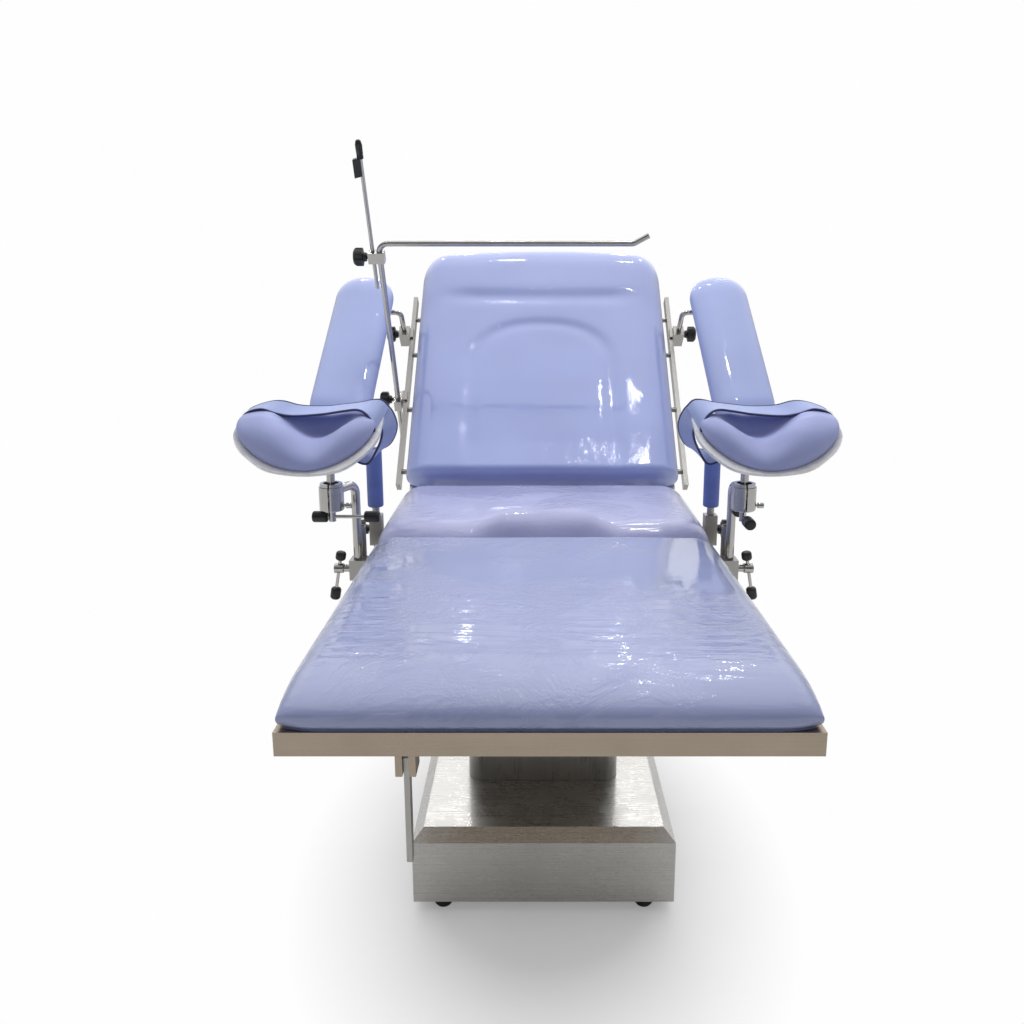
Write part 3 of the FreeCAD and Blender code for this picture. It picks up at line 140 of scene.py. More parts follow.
def brushed_steel(name, direction, tint, rough, lines=380):
    """Brushed stainless: fine parallel scratches, faint handling marks and a cloudy sheen."""
    s = Shade(name)
    scale = [lines, lines, lines]
    scale[direction] = 3
    grain = s.noise(1, 4, 0.6, s.stretched(*scale))
    cloud = s.noise(7, 3, 0.55, distort=0.6)
    smear = s.noise(26, 4, 0.6)
    dark = [c * 0.86 for c in tint]
    tone = s.math("MULTIPLY", grain, s.math("ADD", cloud, 0.5))
    s.set(Base_Color=s.colours(tone, (0.25, dark), (0.75, tint)), Metallic=1.0)
    s.set(Roughness=s.math("ADD", s.span(grain, 0.3, 0.7, rough * 0.85, rough * 1.25),
                           s.span(smear, 0.4, 0.75, 0.0, 0.09)))
    s.set(Normal=s.bump(grain, 0.00025, strength=0.5))
    return s.material


def polished_bar(name, tint, rough):
    """Polished bar: faint drawn lines, a few dull rubs."""
    s = Shade(name)
    rub = s.noise(60, 4, 0.6)
    fine = s.noise(900, 2, 0.5)
    s.set(Base_Color=s.colours(rub, (0.3, [c * 0.9 for c in tint]), (0.7, tint)), Metallic=1.0)
    dull = s.span(rub, 0.35, 0.75, rough, rough + 0.12)
    s.set(Roughness=s.math("ADD", dull, s.span(fine, 0.3, 0.7, 0, 0.03)))
    s.set(Normal=s.bump(fine, 0.00003, strength=0.4))
    return s.material


def powder_coat(name, colour, rough=0.42):
    s = Shade(name)
    peel = s.cells(420)
    shade = s.noise(5, 2)
    s.set(Base_Color=s.colours(shade, (0.3, [c * 0.93 for c in colour]), (0.7, colour)))
    s.set(Roughness=s.span(peel, 0.1, 0.7, rough, rough + 0.12), Normal=s.bump(peel, 0.0002, strength=0.35))
    return s.material


def plastic(name, colour, rough, grain=1400, depth=0.00008, coat=0.0):
    """Moulded plastic or rubber with a fine spark-eroded grain and slight scuffs."""
    s = Shade(name)
    fine = s.noise(grain, 2, 0.6)
    scuff = s.noise(38, 5, 0.65)
    worn = [min(1, c * 1.35 + 0.015) for c in colour]
    s.set(Base_Color=s.colours(scuff, (0.45, colour), (0.8, worn)))
    s.set(Roughness=s.span(scuff, 0.35, 0.75, rough, rough + 0.15), Normal=s.bump(fine, depth, strength=0.6))
    s.set(Coat_Weight=coat, Coat_Roughness=0.12)
    return s.material


def film_over_vinyl(name, colour, wrinkle, crumple, ripple, gathers=None):
    """Coated upholstery fabric under a tight clear film: soft grain below, crinkled gloss above.

    wrinkle stretches the long folds, crumple and ripple are their and the slow waves' strengths,
    and gathers gives (from, to, strength) of the rows that run across the front roll.
    """
    s = Shade(name)
    grain = s.cells(950)
    mottle = s.noise(4.5, 3, 0.5)
    deep = [c * 0.88 for c in colour]
    s.set(Base_Color=s.colours(mottle, (0.3, deep), (0.7, colour)), Roughness=0.42, Specular_IOR_Level=0.4)
    skin = s.bump(grain, 0.0002, strength=0.35)
    s.set(Normal=skin, Sheen_Weight=0.05)
    long_folds = s.noise(9, 5, 0.62, s.stretched(*wrinkle), distort=1.6)
    ridges = s.span(s.math("ABSOLUTE", s.math("SUBTRACT", long_folds, 0.5), 0), 0.0, 0.09, 1.0, 0.0)
    patch = s.span(s.noise(5.5, 2, 0.5, distort=0.8), 0.46, 0.68, 0.0, 1.0)
    fine = s.noise(55, 3, 0.6, distort=1.0)
    waves = s.noise(6, 2, 0.5, distort=0.5)
    folds = s.math("MULTIPLY", ridges, s.math("MULTIPLY", patch, 0.55 * crumple))
    crackle = s.math("MULTIPLY", fine, 0.05 * crumple)
    height = s.math("ADD", folds, s.math("ADD", s.math("MULTIPLY", waves, ripple), crackle))
    if gathers:
        low, high, strength = gathers
        rows = s.noise(70, 2, 0.55, s.stretched(0.10, 1.0, 1.0), distort=0.25)
        front = s.span(s.along(1), low, high, 1.0, 0.0)
        height = s.math("ADD", height, s.math("MULTIPLY", s.math("MULTIPLY", rows, front), strength))
    s.set(Coat_Weight=1.0, Coat_Roughness=0.045, Coat_IOR=1.62)
    s.set(Coat_Normal=s.bump(height, 0.004, strength=0.8))
    return s.material


def satin_vinyl(name, colour, rough=0.48):
    """Uncovered coated fabric of the leg holders: fine leather grain, soft creases."""
    s = Shade(name)
    grain = s.cells(700)
    crease = s.noise(38, 5, 0.65, distort=0.8)
    mottle = s.noise(9, 3, 0.5)
    s.set(Base_Color=s.colours(mottle, (0.3, [c * 0.85 for c in colour]), (0.7, colour)))
    s.set(Roughness=s.span(crease, 0.3, 0.7, rough - 0.05, rough + 0.1))
    s.set(Specular_IOR_Level=0.35, Sheen_Weight=0.08)
    s.set(Normal=s.bump(crease, 0.0012, s.bump(grain, 0.00035, strength=0.5), strength=0.45))
    return s.material


def foam_skin(name, colour):
    s = Shade(name)
    pores = s.cells(650)
    shade = s.noise(30, 3)
    s.set(Base_Color=s.colours(shade, (0.3, [c * 0.8 for c in colour]), (0.7, colour)), Roughness=0.62)
    s.set(Normal=s.bump(pores, 0.0004, strength=0.5), Sheen_Weight=0.12)
    return s.material


STEEL = [0.66, 0.645, 0.62]
# The leg tray's tint below is a darker, brownish copy of STEEL: painted shade and a painted warm reflection.
TRAY_STEEL_SHADE_AND_REFLECTION = [0.42, 0.35, 0.275]
# The column covers' tint below is a darker copy of STEEL: painted shade of the column under the table.
COLUMN_STEEL_PAINTED_SHADE = [0.36, 0.355, 0.34]
# The leg, seat, back and arm blues are copies of one upholstery blue, each made lighter or darker to match
# how bright its cushion looks: painted light and shade, darkest on the leg cushion, brightest on the back and
# arms.
LEG_BLUE_SHADED = [0.265, 0.305, 0.52]
SEAT_BLUE = [0.40, 0.42, 0.68]
BACK_BLUE_LIT = [0.355, 0.425, 0.80]
ARM_BLUE_LIT = [0.365, 0.445, 0.83]
STRAP_BLUE = [0.36, 0.43, 0.74]
PIPING_BLUE = [0.035, 0.045, 0.13]
HOLDER_BLUE = [0.37, 0.415, 0.72]
GRIP_BLUE = [0.125, 0.185, 0.54]

looks = {
    "steel_x": brushed_steel("steel_brushed_across", 0, STEEL, 0.24),
    # The leg tray's steel carries painted shade and a painted warm reflection in its colour.
    "steel_tray": brushed_steel("steel_brushed_tray_shade_and_reflection", 0, TRAY_STEEL_SHADE_AND_REFLECTION, 0.27),
    "steel_y": brushed_steel("steel_brushed_lengthwise", 1, STEEL, 0.24),
    # The column covers' steel carries painted shade in its colour.
    "steel_z": brushed_steel("steel_brushed_upright_painted_shade", 2, COLUMN_STEEL_PAINTED_SHADE, 0.28),
    "polished": polished_bar("steel_polished", [0.55, 0.54, 0.52], 0.14),
    "machined": polished_bar("steel_machined", [0.42, 0.41, 0.39], 0.28),
    "coat": powder_coat("frame_powder_coat", [0.62, 0.63, 0.64]),
    "black": plastic("black_moulding", [0.014, 0.014, 0.016], 0.33),
    "rubber": plastic("black_rubber", [0.018, 0.018, 0.018], 0.6, 900, 0.00015),
    "case": powder_coat("drive_casing", [0.09, 0.095, 0.10], 0.4),
    "alloy": polished_bar("drive_alloy", [0.50, 0.51, 0.53], 0.33),
    "white": plastic("white_shell", [0.80, 0.79, 0.77], 0.22, 600, 0.00005, coat=0.4),
    "bronze": polished_bar("bearing_bronze", [0.62, 0.42, 0.2], 0.3),
    # The cushion upholsteries take the lit and shaded copies of one blue.
    "leg_vinyl": film_over_vinyl("leg_upholstery", LEG_BLUE_SHADED, (1.0, 1.6, 1.6), 1.3, 0.22,
                                 gathers=(-0.45, -0.41, 0.7)),
    "seat_vinyl": film_over_vinyl("seat_upholstery", SEAT_BLUE, (0.8, 2.0, 2.0), 1.7, 0.3),
    "back_vinyl": film_over_vinyl("back_upholstery", BACK_BLUE_LIT, (1.6, 0.8, 0.8), 0.16, 0.12),
    "arm_vinyl": film_over_vinyl("arm_upholstery", ARM_BLUE_LIT, (1.8, 0.8, 0.8), 0.25, 0.15),
    "holder_vinyl": satin_vinyl("holder_upholstery", HOLDER_BLUE),
    "strap_vinyl": satin_vinyl("holder_strap", STRAP_BLUE, 0.42),
    "piping": satin_vinyl("holder_piping", PIPING_BLUE, 0.4),
    "grip": foam_skin("grip_foam", GRIP_BLUE),
}
node_looks = {
    "base_chassis": "coat", "base_cover": "steel_x", "levelling_feet": "rubber", "power_inlet": "black",
    "control_box": "case", "column_lower_cover": "steel_z", "column_upper_cover": "steel_z",
    "lift_actuator_tube": "case", "lift_actuator_rod": "polished", "tilt_head": "coat",
    "tilt_bushes": "bronze", "tilt_actuator_tube": "case", "tilt_actuator_rod": "polished",
    "main_frame": "coat", "hinge_pins": "machined", "seat_pan": "steel_x", "seat_rails": "steel_y",
    "back_actuator_tube": "case", "back_actuator_rod": "polished", "leg_tray": "steel_tray",
    "release_lever": "machined", "back_frame": "coat", "back_pan": "steel_x", "back_rails": "machined",
    "screen_clamp": "machined", "screen_knob": "black", "screen_rod": "polished",
    "screen_cross_knob": "black", "screen_extension": "polished",
}
for side, side_name in SIDES:
    for stem, look in (("leg_clamp", "machined"), ("leg_clamp_screw", "polished"), ("leg_post", "polished"),
                       ("crutch_stem", "polished"), ("crutch_shell", "white"), ("holder_handle", "polished"),
                       ("grip_bracket", "machined"), ("grip_knob", "black"), ("arm_clamp", "machined"),
                       ("arm_knob", "black"), ("arm_bracket", "polished")):
        node_looks["%s_%s" % (stem, side_name)] = look
for name, look in node_looks.items():
    for material_slot in nodes[name].material_slots:
        material_slot.material = looks[look]


# Meshes
def mesh_object(name, points, faces, look, smooth=True):
    mesh = bpy.data.meshes.new(name)
    mesh.from_pydata([tuple(p) for p in points], [], faces)
    mesh.update()
    work = bmesh.new()
    work.from_mesh(mesh)
    bmesh.ops.recalc_face_normals(work, faces=work.faces)
    work.to_mesh(mesh)
    work.free()
    for polygon in mesh.polygons:
        polygon.use_smooth = smooth
    obj = bpy.data.objects.new(name, mesh)
    scene.collection.objects.link(obj)
    mesh.materials.append(looks[look])
    return obj


def zone(low, middle, high):
    """Grid stations across a cushion: rolled zone, level middle, rolled zone.

    Each is (edge, place): edge runs from -1 at the low rim through 0 to 1 at the high rim,
    and place from 0 to 1 along the level middle.
    """
    stations = [(-math.cos(0.5 * math.pi * k / low), 0.0) for k in range(low)]
    stations += [(0.0, k / middle) for k in range(middle + 1)]
    stations += [(math.sin(0.5 * math.pi * (k + 1) / high), 1.0) for k in range(high)]
    return stations


def moulded(name, look, place, half, front, rear, rolls, top, height, square=0.5, power=2.0,
            tuck=0.007, sink=0.012, sculpt=None, crown=0.0, counts=(10, 40, 12, 44, 8)):
    """A moulded cushion lying on its place's XY plane.

    half is its half width and front and rear its ends, each a number or a function of x. rolls are
    the depths of the rolled zones at the sides, front and rear. The underside lies at top - height.
    """
    side_roll, front_roll, rear_roll = rolls
    edge_x = zone(counts[0], counts[1], counts[0])
    edge_y = zone(counts[2], counts[3], counts[4])
    front_at = front if callable(front) else lambda x: front
    rear_at = rear if callable(rear) else lambda x: rear
    columns, rows = len(edge_x), len(edge_y)
    upper, plan = [], []
    for v, t in edge_y:
        for u, s in edge_x:
            uu = u * math.sqrt(1 - square * v * v / 2)
            vv = v * math.sqrt(1 - square * u * u / 2)
            x = (half - side_roll) * (2 * s - 1) + side_roll * uu
            low, high = front_at(x), rear_at(x)
            y = low + front_roll + (high - low - front_roll - rear_roll) * t
            y += vv * (front_roll if v < 0 else rear_roll)
            rise = ((1 - abs(u) ** power) * (1 - abs(v) ** power)) ** (1 / power)
            bulge = (1 - ((x / half) ** 2)) * (1 - ((2 * y - low - high) / (high - low)) ** 2)
            z = top - (height - sink) * (1 - rise) + crown * max(0, bulge)
            if sculpt:
                z += sculpt(x, y) * rise
            upper.append(Vector((x, y, z)))
            plan.append((x, y))
    points = list(upper)
    faces = [(j * columns + i, j * columns + i + 1, (j + 1) * columns + i + 1, (j + 1) * columns + i)
             for j in range(rows - 1) for i in range(columns - 1)]
    rim = [i for i in range(columns)] + [j * columns + columns - 1 for j in range(1, rows)]
    rim += [(rows - 1) * columns + i for i in range(columns - 2, -1, -1)]
    rim += [j * columns for j in range(rows - 2, 0, -1)]
    middle = Vector((0, (front_at(0) + rear_at(0)) / 2, 0))
    last = rim
    for level, inset in ((0.35, 0.0), (0.75, 0.25), (1.0, 1.0)):
        ring = []
        for index in rim:
            x, y = plan[index]
            away = Vector((x, y, 0)) - middle
            away.x = math.copysign(min(abs(away.x), tuck * inset), away.x)
            away.y = math.copysign(min(abs(away.y), tuck * inset), away.y)
            ring.append(len(points))
            points.append(Vector((x - away.x, y - away.y, top - height + sink * (1 - level))))
        for k in range(len(rim)):
            n = (k + 1) % len(rim)
            faces.append((last[k], last[n], ring[n], ring[k]))
        last = ring
    under = {index: ring_index for index, ring_index in zip(rim, last)}
    base = len(points)
    for index, (x, y) in enumerate(plan):
        if index not in under:
            under[index] = base
            base += 1
            points.append(Vector((x * (1 - tuck / half), y, top - height)))
    for j in range(rows - 1):
        for i in range(columns - 1):
            corners = (j * columns + i, (j + 1) * columns + i,
                       (j + 1) * columns + i + 1, j * columns + i + 1)
            faces.append(tuple(under[c] for c in corners))
    obj = mesh_object(name, [place @ p for p in points], faces, look)
    obj["top_points"] = len(upper)
    return obj


def swell(obj):
    """Lets the upper skin swell as foam under a stretched cover does, by no more than the cap."""
    count = obj["top_points"]
    start = [v.co.copy() for v in obj.data.vertices]
    pins = obj.vertex_groups.new(name="pins")
    pins.add(list(range(count, len(start))), 1.0, "REPLACE")
    cloth = obj.modifiers.new("swell", "CLOTH")
    cloth.settings.use_pressure = True
    cloth.settings.uniform_pressure_force = SWELL_PRESSURE
    cloth.settings.effector_weights.gravity = 0
    cloth.settings.vertex_group_mass = "pins"
    cloth.settings.tension_stiffness = 40
    cloth.settings.bending_stiffness = 4
    cloth.settings.quality = 4
    for number in range(1, SWELL_FRAMES + 1):
        scene.frame_set(number)
    swollen = obj.evaluated_get(bpy.context.evaluated_depsgraph_get()).data
    moved = [v.co.copy() for v in swollen.vertices]
    obj.modifiers.remove(cloth)
    scene.frame_set(1)
    for vertex, before, after in zip(obj.data.vertices, start, moved):
        step = after - before
        if step.length > SWELL_CAP:
            step = step.normalized() * SWELL_CAP
        vertex.co = before + step
    obj.vertex_groups.clear()
    obj.data.update()


def smooth_skin(obj):
    skin = obj.modifiers.new("skin", "SUBSURF")
    skin.levels = 1
    skin.render_levels = 1


def dress(obj, body, slot, fill=None, *replaced):
    """Sets what a piece rides on and which solids it stands for; its finish (slot) is not used."""
    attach(obj, body)
    if replaced:
        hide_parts(*replaced)


# Seat, leg and back cushions
def leg_relief(x, y):
    """Slight unevenness of the foam."""
    return 0.0016 * noise.noise(Vector((x * 5, y * 5, 0.3)))


leg_cushion = moulded("leg_cushion_cover", "leg_vinyl", TABLE_FRAME, HALF, -LEG, -0.004,
                      (0.046, 0.095, 0.022), TOP + 0.047, 0.0465, square=0.34, power=2.15,
                      crown=0.003, sculpt=leg_relief, counts=(10, 44, 14, 46, 6))
swell(leg_cushion)
smooth_skin(leg_cushion)
dress(leg_cushion, "leg", "upholstery", FILL, "leg_cushion")


def seat_front(x):
    """Plan of the seat's front edge: straight, with the wide shallow cut-out in its middle."""
    half, ramp, depth = 0.136, 0.075, 0.056
    reach = min(1, max(0, (half - abs(x)) / ramp))
    return 0.002 + depth * (reach * reach * (3 - 2 * reach))


def seat_relief(x, y):
    """The seat's face dips towards its front corners and rises to the crest before the back."""
    fall = max(0, (0.15 - y) / 0.15)
    wave = 0.0022 * noise.noise(Vector((x * 6, y * 6, 4.1)))
    return wave - 0.011 * fall ** 1.6


seat_cushion = moulded("seat_cushion_cover", "seat_vinyl", TABLE_FRAME, HALF, seat_front, SEAT - 0.002,
                       (0.055, 0.044, 0.045), TOP + 0.065, 0.0627, square=0.4, power=2.1, crown=0.004,
                       sculpt=seat_relief, counts=(10, 60, 12, 30, 8))
swell(seat_cushion)
smooth_skin(seat_cushion)
dress(seat_cushion, "table", "upholstery", FILL, "seat_cushion")


def groove(distance, width, depth):
    return -depth * math.exp(-(distance / width) ** 2)


def arch_distance(x, y):
    """Signed distance to the arch pressed into the back cushion, positive inside it."""
    shoulder, half, peak = 0.330, 0.162, 0.466
    if y < shoulder:
        return half - abs(x)
    rise = (y - shoulder) / (peak - shoulder)
    return (1 - math.sqrt((abs(x) / half) ** 2.4 + rise ** 2.4)) * min(half, peak - shoulder)


def back_relief(x, y):
    """Pressed arch, and the crease below the head roll."""
    inside = arch_distance(x, y)
    fade = min(1, max(0, (y - 0.06) / 0.07))
    arch = groove(inside, 0.018, 0.0034) - 0.0030 / (1 + math.exp(-inside / 0.014))
    crease_y = 0.549 + 0.006 * (x / 0.25) ** 2
    ends = min(1, max(0, (0.265 - abs(x)) / 0.10))
    crease = groove(y - crease_y, 0.021, 0.0052) * ends
    roll = 0.004 / (1 + math.exp(-(y - crease_y) / 0.018))
    return arch * fade + crease + roll + 0.0012 * noise.noise(Vector((x * 5, y * 5, 8.2)))


def back_head(x):
    """Plan of the head end, which bows out towards its middle."""
    return BACK_END - 0.012 + 0.019 * (1 - (x / HALF) ** 2)


back_cushion = moulded("back_cushion_cover", "back_vinyl", BACK_FRAME, HALF, BACK_START + 0.002, back_head,
                       (0.068, 0.026, 0.088), 0.072, 0.0697, square=0.85, power=2.2, crown=0.003,
                       sculpt=back_relief, counts=(14, 84, 10, 104, 16))
swell(back_cushion)
smooth_skin(back_cushion)
dress(back_cushion, "back", "upholstery", FILL, "back_cushion")


# Arm cushions
ARM_X, ARM_Y, ARM_LEVEL = 0.427, 0.490, 0.092
ARM_LENGTH, ARM_WIDTH = 0.430, 0.138
ARM_SPLAY = math.radians(4)
ARM_HEAD_REACH, ARM_BOARD_RISE = 0.085, 0.0033
for side, side_name in SIDES:
    place = (BACK_FRAME @ Matrix.Translation((side * ARM_X, ARM_Y, ARM_LEVEL))
             @ Matrix.Rotation(side * ARM_SPLAY, 4, "Z")
             @ Matrix.Translation((0, ARM_HEAD_REACH, ARM_BOARD_RISE)))
    arm = moulded("arm_cushion_cover_" + side_name, "arm_vinyl", place, ARM_WIDTH / 2, -ARM_LENGTH, 0.0,
                  (0.064, 0.066, 0.066), 0.040, 0.0397, square=0.95, power=2.1, crown=0.001,
                  counts=(10, 6, 11, 40, 11))
    swell(arm)
    smooth_skin(arm)
    dress(arm, "arm_" + side_name, "upholstery", FILL, "arm_cushion_" + side_name)


# Leg holders: dished pads, their straps and hanging loops
POST_X, HOLDER_Y, BALL_LEVEL = 0.341, -0.026, 0.776
REACH_OUT = {-1: 0.027, 1: 0.004}
PAD_OFFSET, PAD_Y, PAD_LEVEL = 0.025, -0.030, 0.862
PAD_TILT = math.radians(28)
SHELL_RADIUS = 0.195
PIPING_RADIUS = 0.0021


def holder_frame(side):
    x = side * (POST_X + REACH_OUT[side] + PAD_OFFSET)
    return TABLE_FRAME @ Matrix.Translation((x, PAD_Y, PAD_LEVEL)) @ Matrix.Rotation(PAD_TILT, 4, "X")


def shell_top(out):
    """Height of the trough that the pad lies in."""
    return 0.2 - math.sqrt(SHELL_RADIUS ** 2 - out * out)


def pad_edge(angle):
    """Kidney outline of the pad seen from above; out is away from the table's middle."""
    c, s = math.cos(angle), math.sin(angle)
    power = 2.2
    reach = (abs(c) ** power + abs(s) ** power) ** (-1 / power)
    out = 0.004 + 0.114 * c * reach
    taper = 1 - 0.16 * min(1, max(0, (-0.01 - out) / 0.10))
    return out, 0.071 * s * reach * taper


def pad_top(out, y):
    """Height of the pad's skin: two raised lobes beside the hollow that takes the calf."""
    u = out + 0.010
    lobes = 0.034 + 0.046 * (1 - math.exp(-(u / 0.053) ** 2))
    lobes -= 0.26 * max(0, y + 0.004) * min(1, abs(u) / 0.06)
    hollow = 0.019 * math.exp(-((y - 0.016) / 0.024) ** 2) * math.exp(-(u / 0.066) ** 4)
    hollow -= 0.006 * math.exp(-((y - 0.052) / 0.016) ** 2) * math.exp(-(u / 0.066) ** 4)
    fold = 0.0012 * noise.noise(Vector((out * 22, y * 30, 1.7)))
    return lobes - hollow + fold


def holder_pad(side, side_name, rings=30, spokes=96):
    place = holder_frame(side)
    points, faces = [], []
    for layer in (1, 0):
        for ring in range(1, rings + 1):
            r = math.sin(0.5 * math.pi * ring / rings)
            for spoke in range(spokes):
                angle = 2 * math.pi * spoke / spokes
                out, y = pad_edge(angle)
                out, y = out * r, y * r
                low = shell_top(out) + 0.0005
                if layer:
                    rise = (1 - r ** 3.2) ** (1 / 2.3)
                    z = low + 0.007 + (pad_top(out, y) - low - 0.007) * rise
                else:
                    inset = 0.965
                    out, y = out * inset, y * inset
                    z = shell_top(out) + 0.0005
                points.append((side * out, y, z))
    middle = [len(points), len(points) + 1]
    points += [(0, 0, pad_top(0, 0)), (0, 0, shell_top(0) + 0.0005)]
    step = rings * spokes
    for layer in (0, 1):
        start = layer * step
        for spoke in range(spokes):
            after = (spoke + 1) % spokes
            faces.append((middle[layer], start + spoke, start + after))
            for ring in range(rings - 1):
                a = start + ring * spokes
                faces.append((a + spoke, a + spokes + spoke, a + spokes + after, a + after))
    rim = (rings - 1) * spokes
    for spoke in range(spokes):
        after = (spoke + 1) % spokes
        faces.append((rim + spoke, step + rim + spoke, step + rim + after, rim + after))
    pad = mesh_object("holder_pad_" + side_name, [place @ Vector(p) for p in points], faces,
                      "holder_vinyl")
    smooth_skin(pad)
    dress(pad, "crutch_" + side_name, "holder_upholstery", FILL, "crutch_pad_" + side_name)


def curve(points, count):
    """Even stations on a smooth curve through the points."""
    pts = [Vector(p) for p in points]
    pts = [pts[0] * 2 - pts[1]] + pts + [pts[-1] * 2 - pts[-2]]
    spans = len(pts) - 3
    stations = []
    for k in range(count + 1):
        at = k * spans / count
        i = min(int(at), spans - 1)
        t = at - i
        a, b, c, d = pts[i:i + 4]
        stations.append(0.5 * ((2 * b) + (c - a) * t + (2 * a - 5 * b + 4 * c - d) * t * t
                               + (3 * b - a - 3 * c + d) * t ** 3))
    return stations


def band(name, look, place, near, far, thick=0.0028, puff=0.003, count=90, across=10):
    """A padded strap between its near and far edges, with a flat underside."""
    left, right = curve(near, count), curve(far, count)
    points, faces = [], []
    for k in range(count + 1):
        ahead, behind = min(k + 1, count), max(k - 1, 0)
        along = (left[ahead] + right[ahead]) - (left[behind] + right[behind])
        normal = along.cross(right[k] - left[k]).normalized()
        section = []
        for j in range(across + 1):
            t = j / across
            rise = thick / 2 + puff * math.sin(math.pi * t) ** 0.6
            section.append(left[k].lerp(right[k], t) + normal * rise)
        for j in range(across, -1, -1):
            section.append(left[k].lerp(right[k], j / across) - normal * thick / 2)
        points += section
    width = 2 * (across + 1)
    for k in range(count):
        for j in range(width):
            n = (j + 1) % width
            faces.append((k * width + j, k * width + n, (k + 1) * width + n, (k + 1) * width + j))
    faces += [tuple(range(width)), tuple(range(count * width, (count + 1) * width))]
    return mesh_object(name, [place @ p for p in points], faces, look)


def tube(name, look, place, path, radius, count=90, sides=10):
    """A round cord of trim along a smooth curve."""
    centres = curve(path, count)
    points, faces = [], []
    side_way = Vector((0, 1, 0.3))
    for k in range(count + 1):
        along = (centres[min(k + 1, count)] - centres[max(k - 1, 0)]).normalized()
        first = along.cross(side_way).normalized()
        second = along.cross(first)
        for j in range(sides):
            turn = 2 * math.pi * j / sides
            points.append(centres[k] + (first * math.cos(turn) + second * math.sin(turn)) * radius)
    for k in range(count):
        for j in range(sides):
            n = (j + 1) % sides
            faces.append((k * sides + j, k * sides + n, (k + 1) * sides + n, (k + 1) * sides + j))
    faces += [tuple(range(sides)), tuple(range(count * sides, (count + 1) * sides))]
    return mesh_object(name, [place @ p for p in points], faces, look)


# Edges of the strap and of its loop, as (outward, along the table, up) in the holder's own frame
STRAP_NEAR = ((0.112, 0.016, 0.020), (0.119, 0.018, 0.040), (0.108, 0.020, 0.058), (0.082, 0.021, 0.066),
              (0.058, 0.022, 0.056), (0.030, 0.022, 0.051), (-0.020, 0.022, 0.055), (-0.055, 0.021, 0.062),
              (-0.080, 0.019, 0.066), (-0.096, 0.011, 0.062), (-0.106, 0.001, 0.050), (-0.109, -0.004, 0.034))
STRAP_FAR = ((0.116, 0.048, 0.014), (0.126, 0.052, 0.026), (0.112, 0.056, 0.042), (0.080, 0.058, 0.054),
             (0.055, 0.058, 0.056), (0.026, 0.058, 0.047), (-0.016, 0.058, 0.045), (-0.050, 0.058, 0.049),
             (-0.078, 0.058, 0.053), (-0.100, 0.056, 0.060), (-0.116, 0.052, 0.062), (-0.128, 0.046, 0.052))
LOOP_NEAR = ((-0.094, 0.016, 0.060), (-0.107, 0.013, 0.049), (-0.117, 0.012, 0.031),
             (-0.114, 0.012, 0.010), (-0.103, 0.012, -0.015), (-0.085, 0.012, -0.044),
             (-0.066, 0.013, -0.040), (-0.056, 0.015, -0.022), (-0.053, 0.017, 0.004))
LOOP_FAR = ((-0.112, 0.054, 0.058), (-0.129, 0.050, 0.046), (-0.137, 0.046, 0.018),
            (-0.130, 0.045, -0.010), (-0.117, 0.043, -0.028), (-0.098, 0.042, -0.036),
            (-0.078, 0.041, -0.036), (-0.060, 0.042, -0.026), (-0.055, 0.044, 0.004))

for side, side_name in SIDES:
    holder_pad(side, side_name)
    place = holder_frame(side)
    for stem, near, far in (("strap", STRAP_NEAR, STRAP_FAR), ("strap_loop", LOOP_NEAR, LOOP_FAR)):
        near = [(side * x, y, z) for x, y, z in near]
        far = [(side * x, y, z) for x, y, z in far]
        edges = (near, far) if side > 0 else (far, near)
        made = band("%s_%s" % (stem, side_name), "strap_vinyl", place, *edges)
        dress(made, "crutch_" + side_name, "holder_upholstery")
        for edge, path in (("near", near), ("far", far)):
            trim = tube("%s_piping_%s_%s" % (stem, edge, side_name), "piping", place, path,
                        PIPING_RADIUS)
            dress(trim, "crutch_" + side_name, "holder_upholstery")


# Turned trim: foam grips, black caps of the handles, sleeve of the extension, rail screws
def lathe(name, look, place, profile, segments=40):
    points, faces = [], []
    for radius, level in profile:
        for k in range(segments):
            turn = 2 * math.pi * k / segments
            points.append(place @ Vector((radius * math.cos(turn), radius * math.sin(turn), level)))
    for row in range(len(profile) - 1):
        for k in range(segments):
            n = (k + 1) % segments
            low, high = row * segments, (row + 1) * segments
            faces.append((low + k, low + n, high + n, high + k))
    faces += [tuple(range(segments)), tuple(range(len(points) - segments, len(points)))]
    return mesh_object(name, points, faces, look)


def rounded_ends(radius, low, high, roll, steps=5):
    """Half profile of a bar with rolled ends."""
    start = [(radius - roll + roll * math.sin(a), low + roll - roll * math.cos(a))
             for a in (0.5 * math.pi * k / steps for k in range(steps + 1))]
    end = [(r, low + high - z) for r, z in reversed(start)]
    return start + end


BAR_LEVEL = BALL_LEVEL - 0.036
AXIS_TURN = {-1: Matrix.Rotation(math.radians(90), 4, "Y"), 1: Matrix.Rotation(math.radians(90), 4, "X")}
HANDLE_ENDS = {-1: ((0.0555, 0.0825), (-0.0345, -0.0075)), 1: ((0.0285, 0.0555), (-0.0555, -0.0285))}
GRIP_X, GRIP_Y, GRIP_LEVEL = 0.327, 0.150, 0.6968
TOMMY_X, TOMMY_Y, TOMMY_LEVEL = 0.377, 0.040, 0.624
TOMMY_LEAN = math.radians(10)
TOMMY_ENDS = ((-0.0605, -0.0375), (0.0155, 0.0325))
RAIL_LEVEL, RAIL_FACE = -0.010, 0.3278
# Numbered screws of each back rail with their stations; the clamps hide the others
RAIL_SCREWS = {-1: ((0, 0.100), (3, 0.545)), 1: ((0, 0.100), (2, 0.433), (3, 0.545))}


def cap(name, place, radius, ends, roll, body):
    made = lathe(name, "black", place, rounded_ends(radius, *ends, roll))
    dress(made, body, "black_plastic")


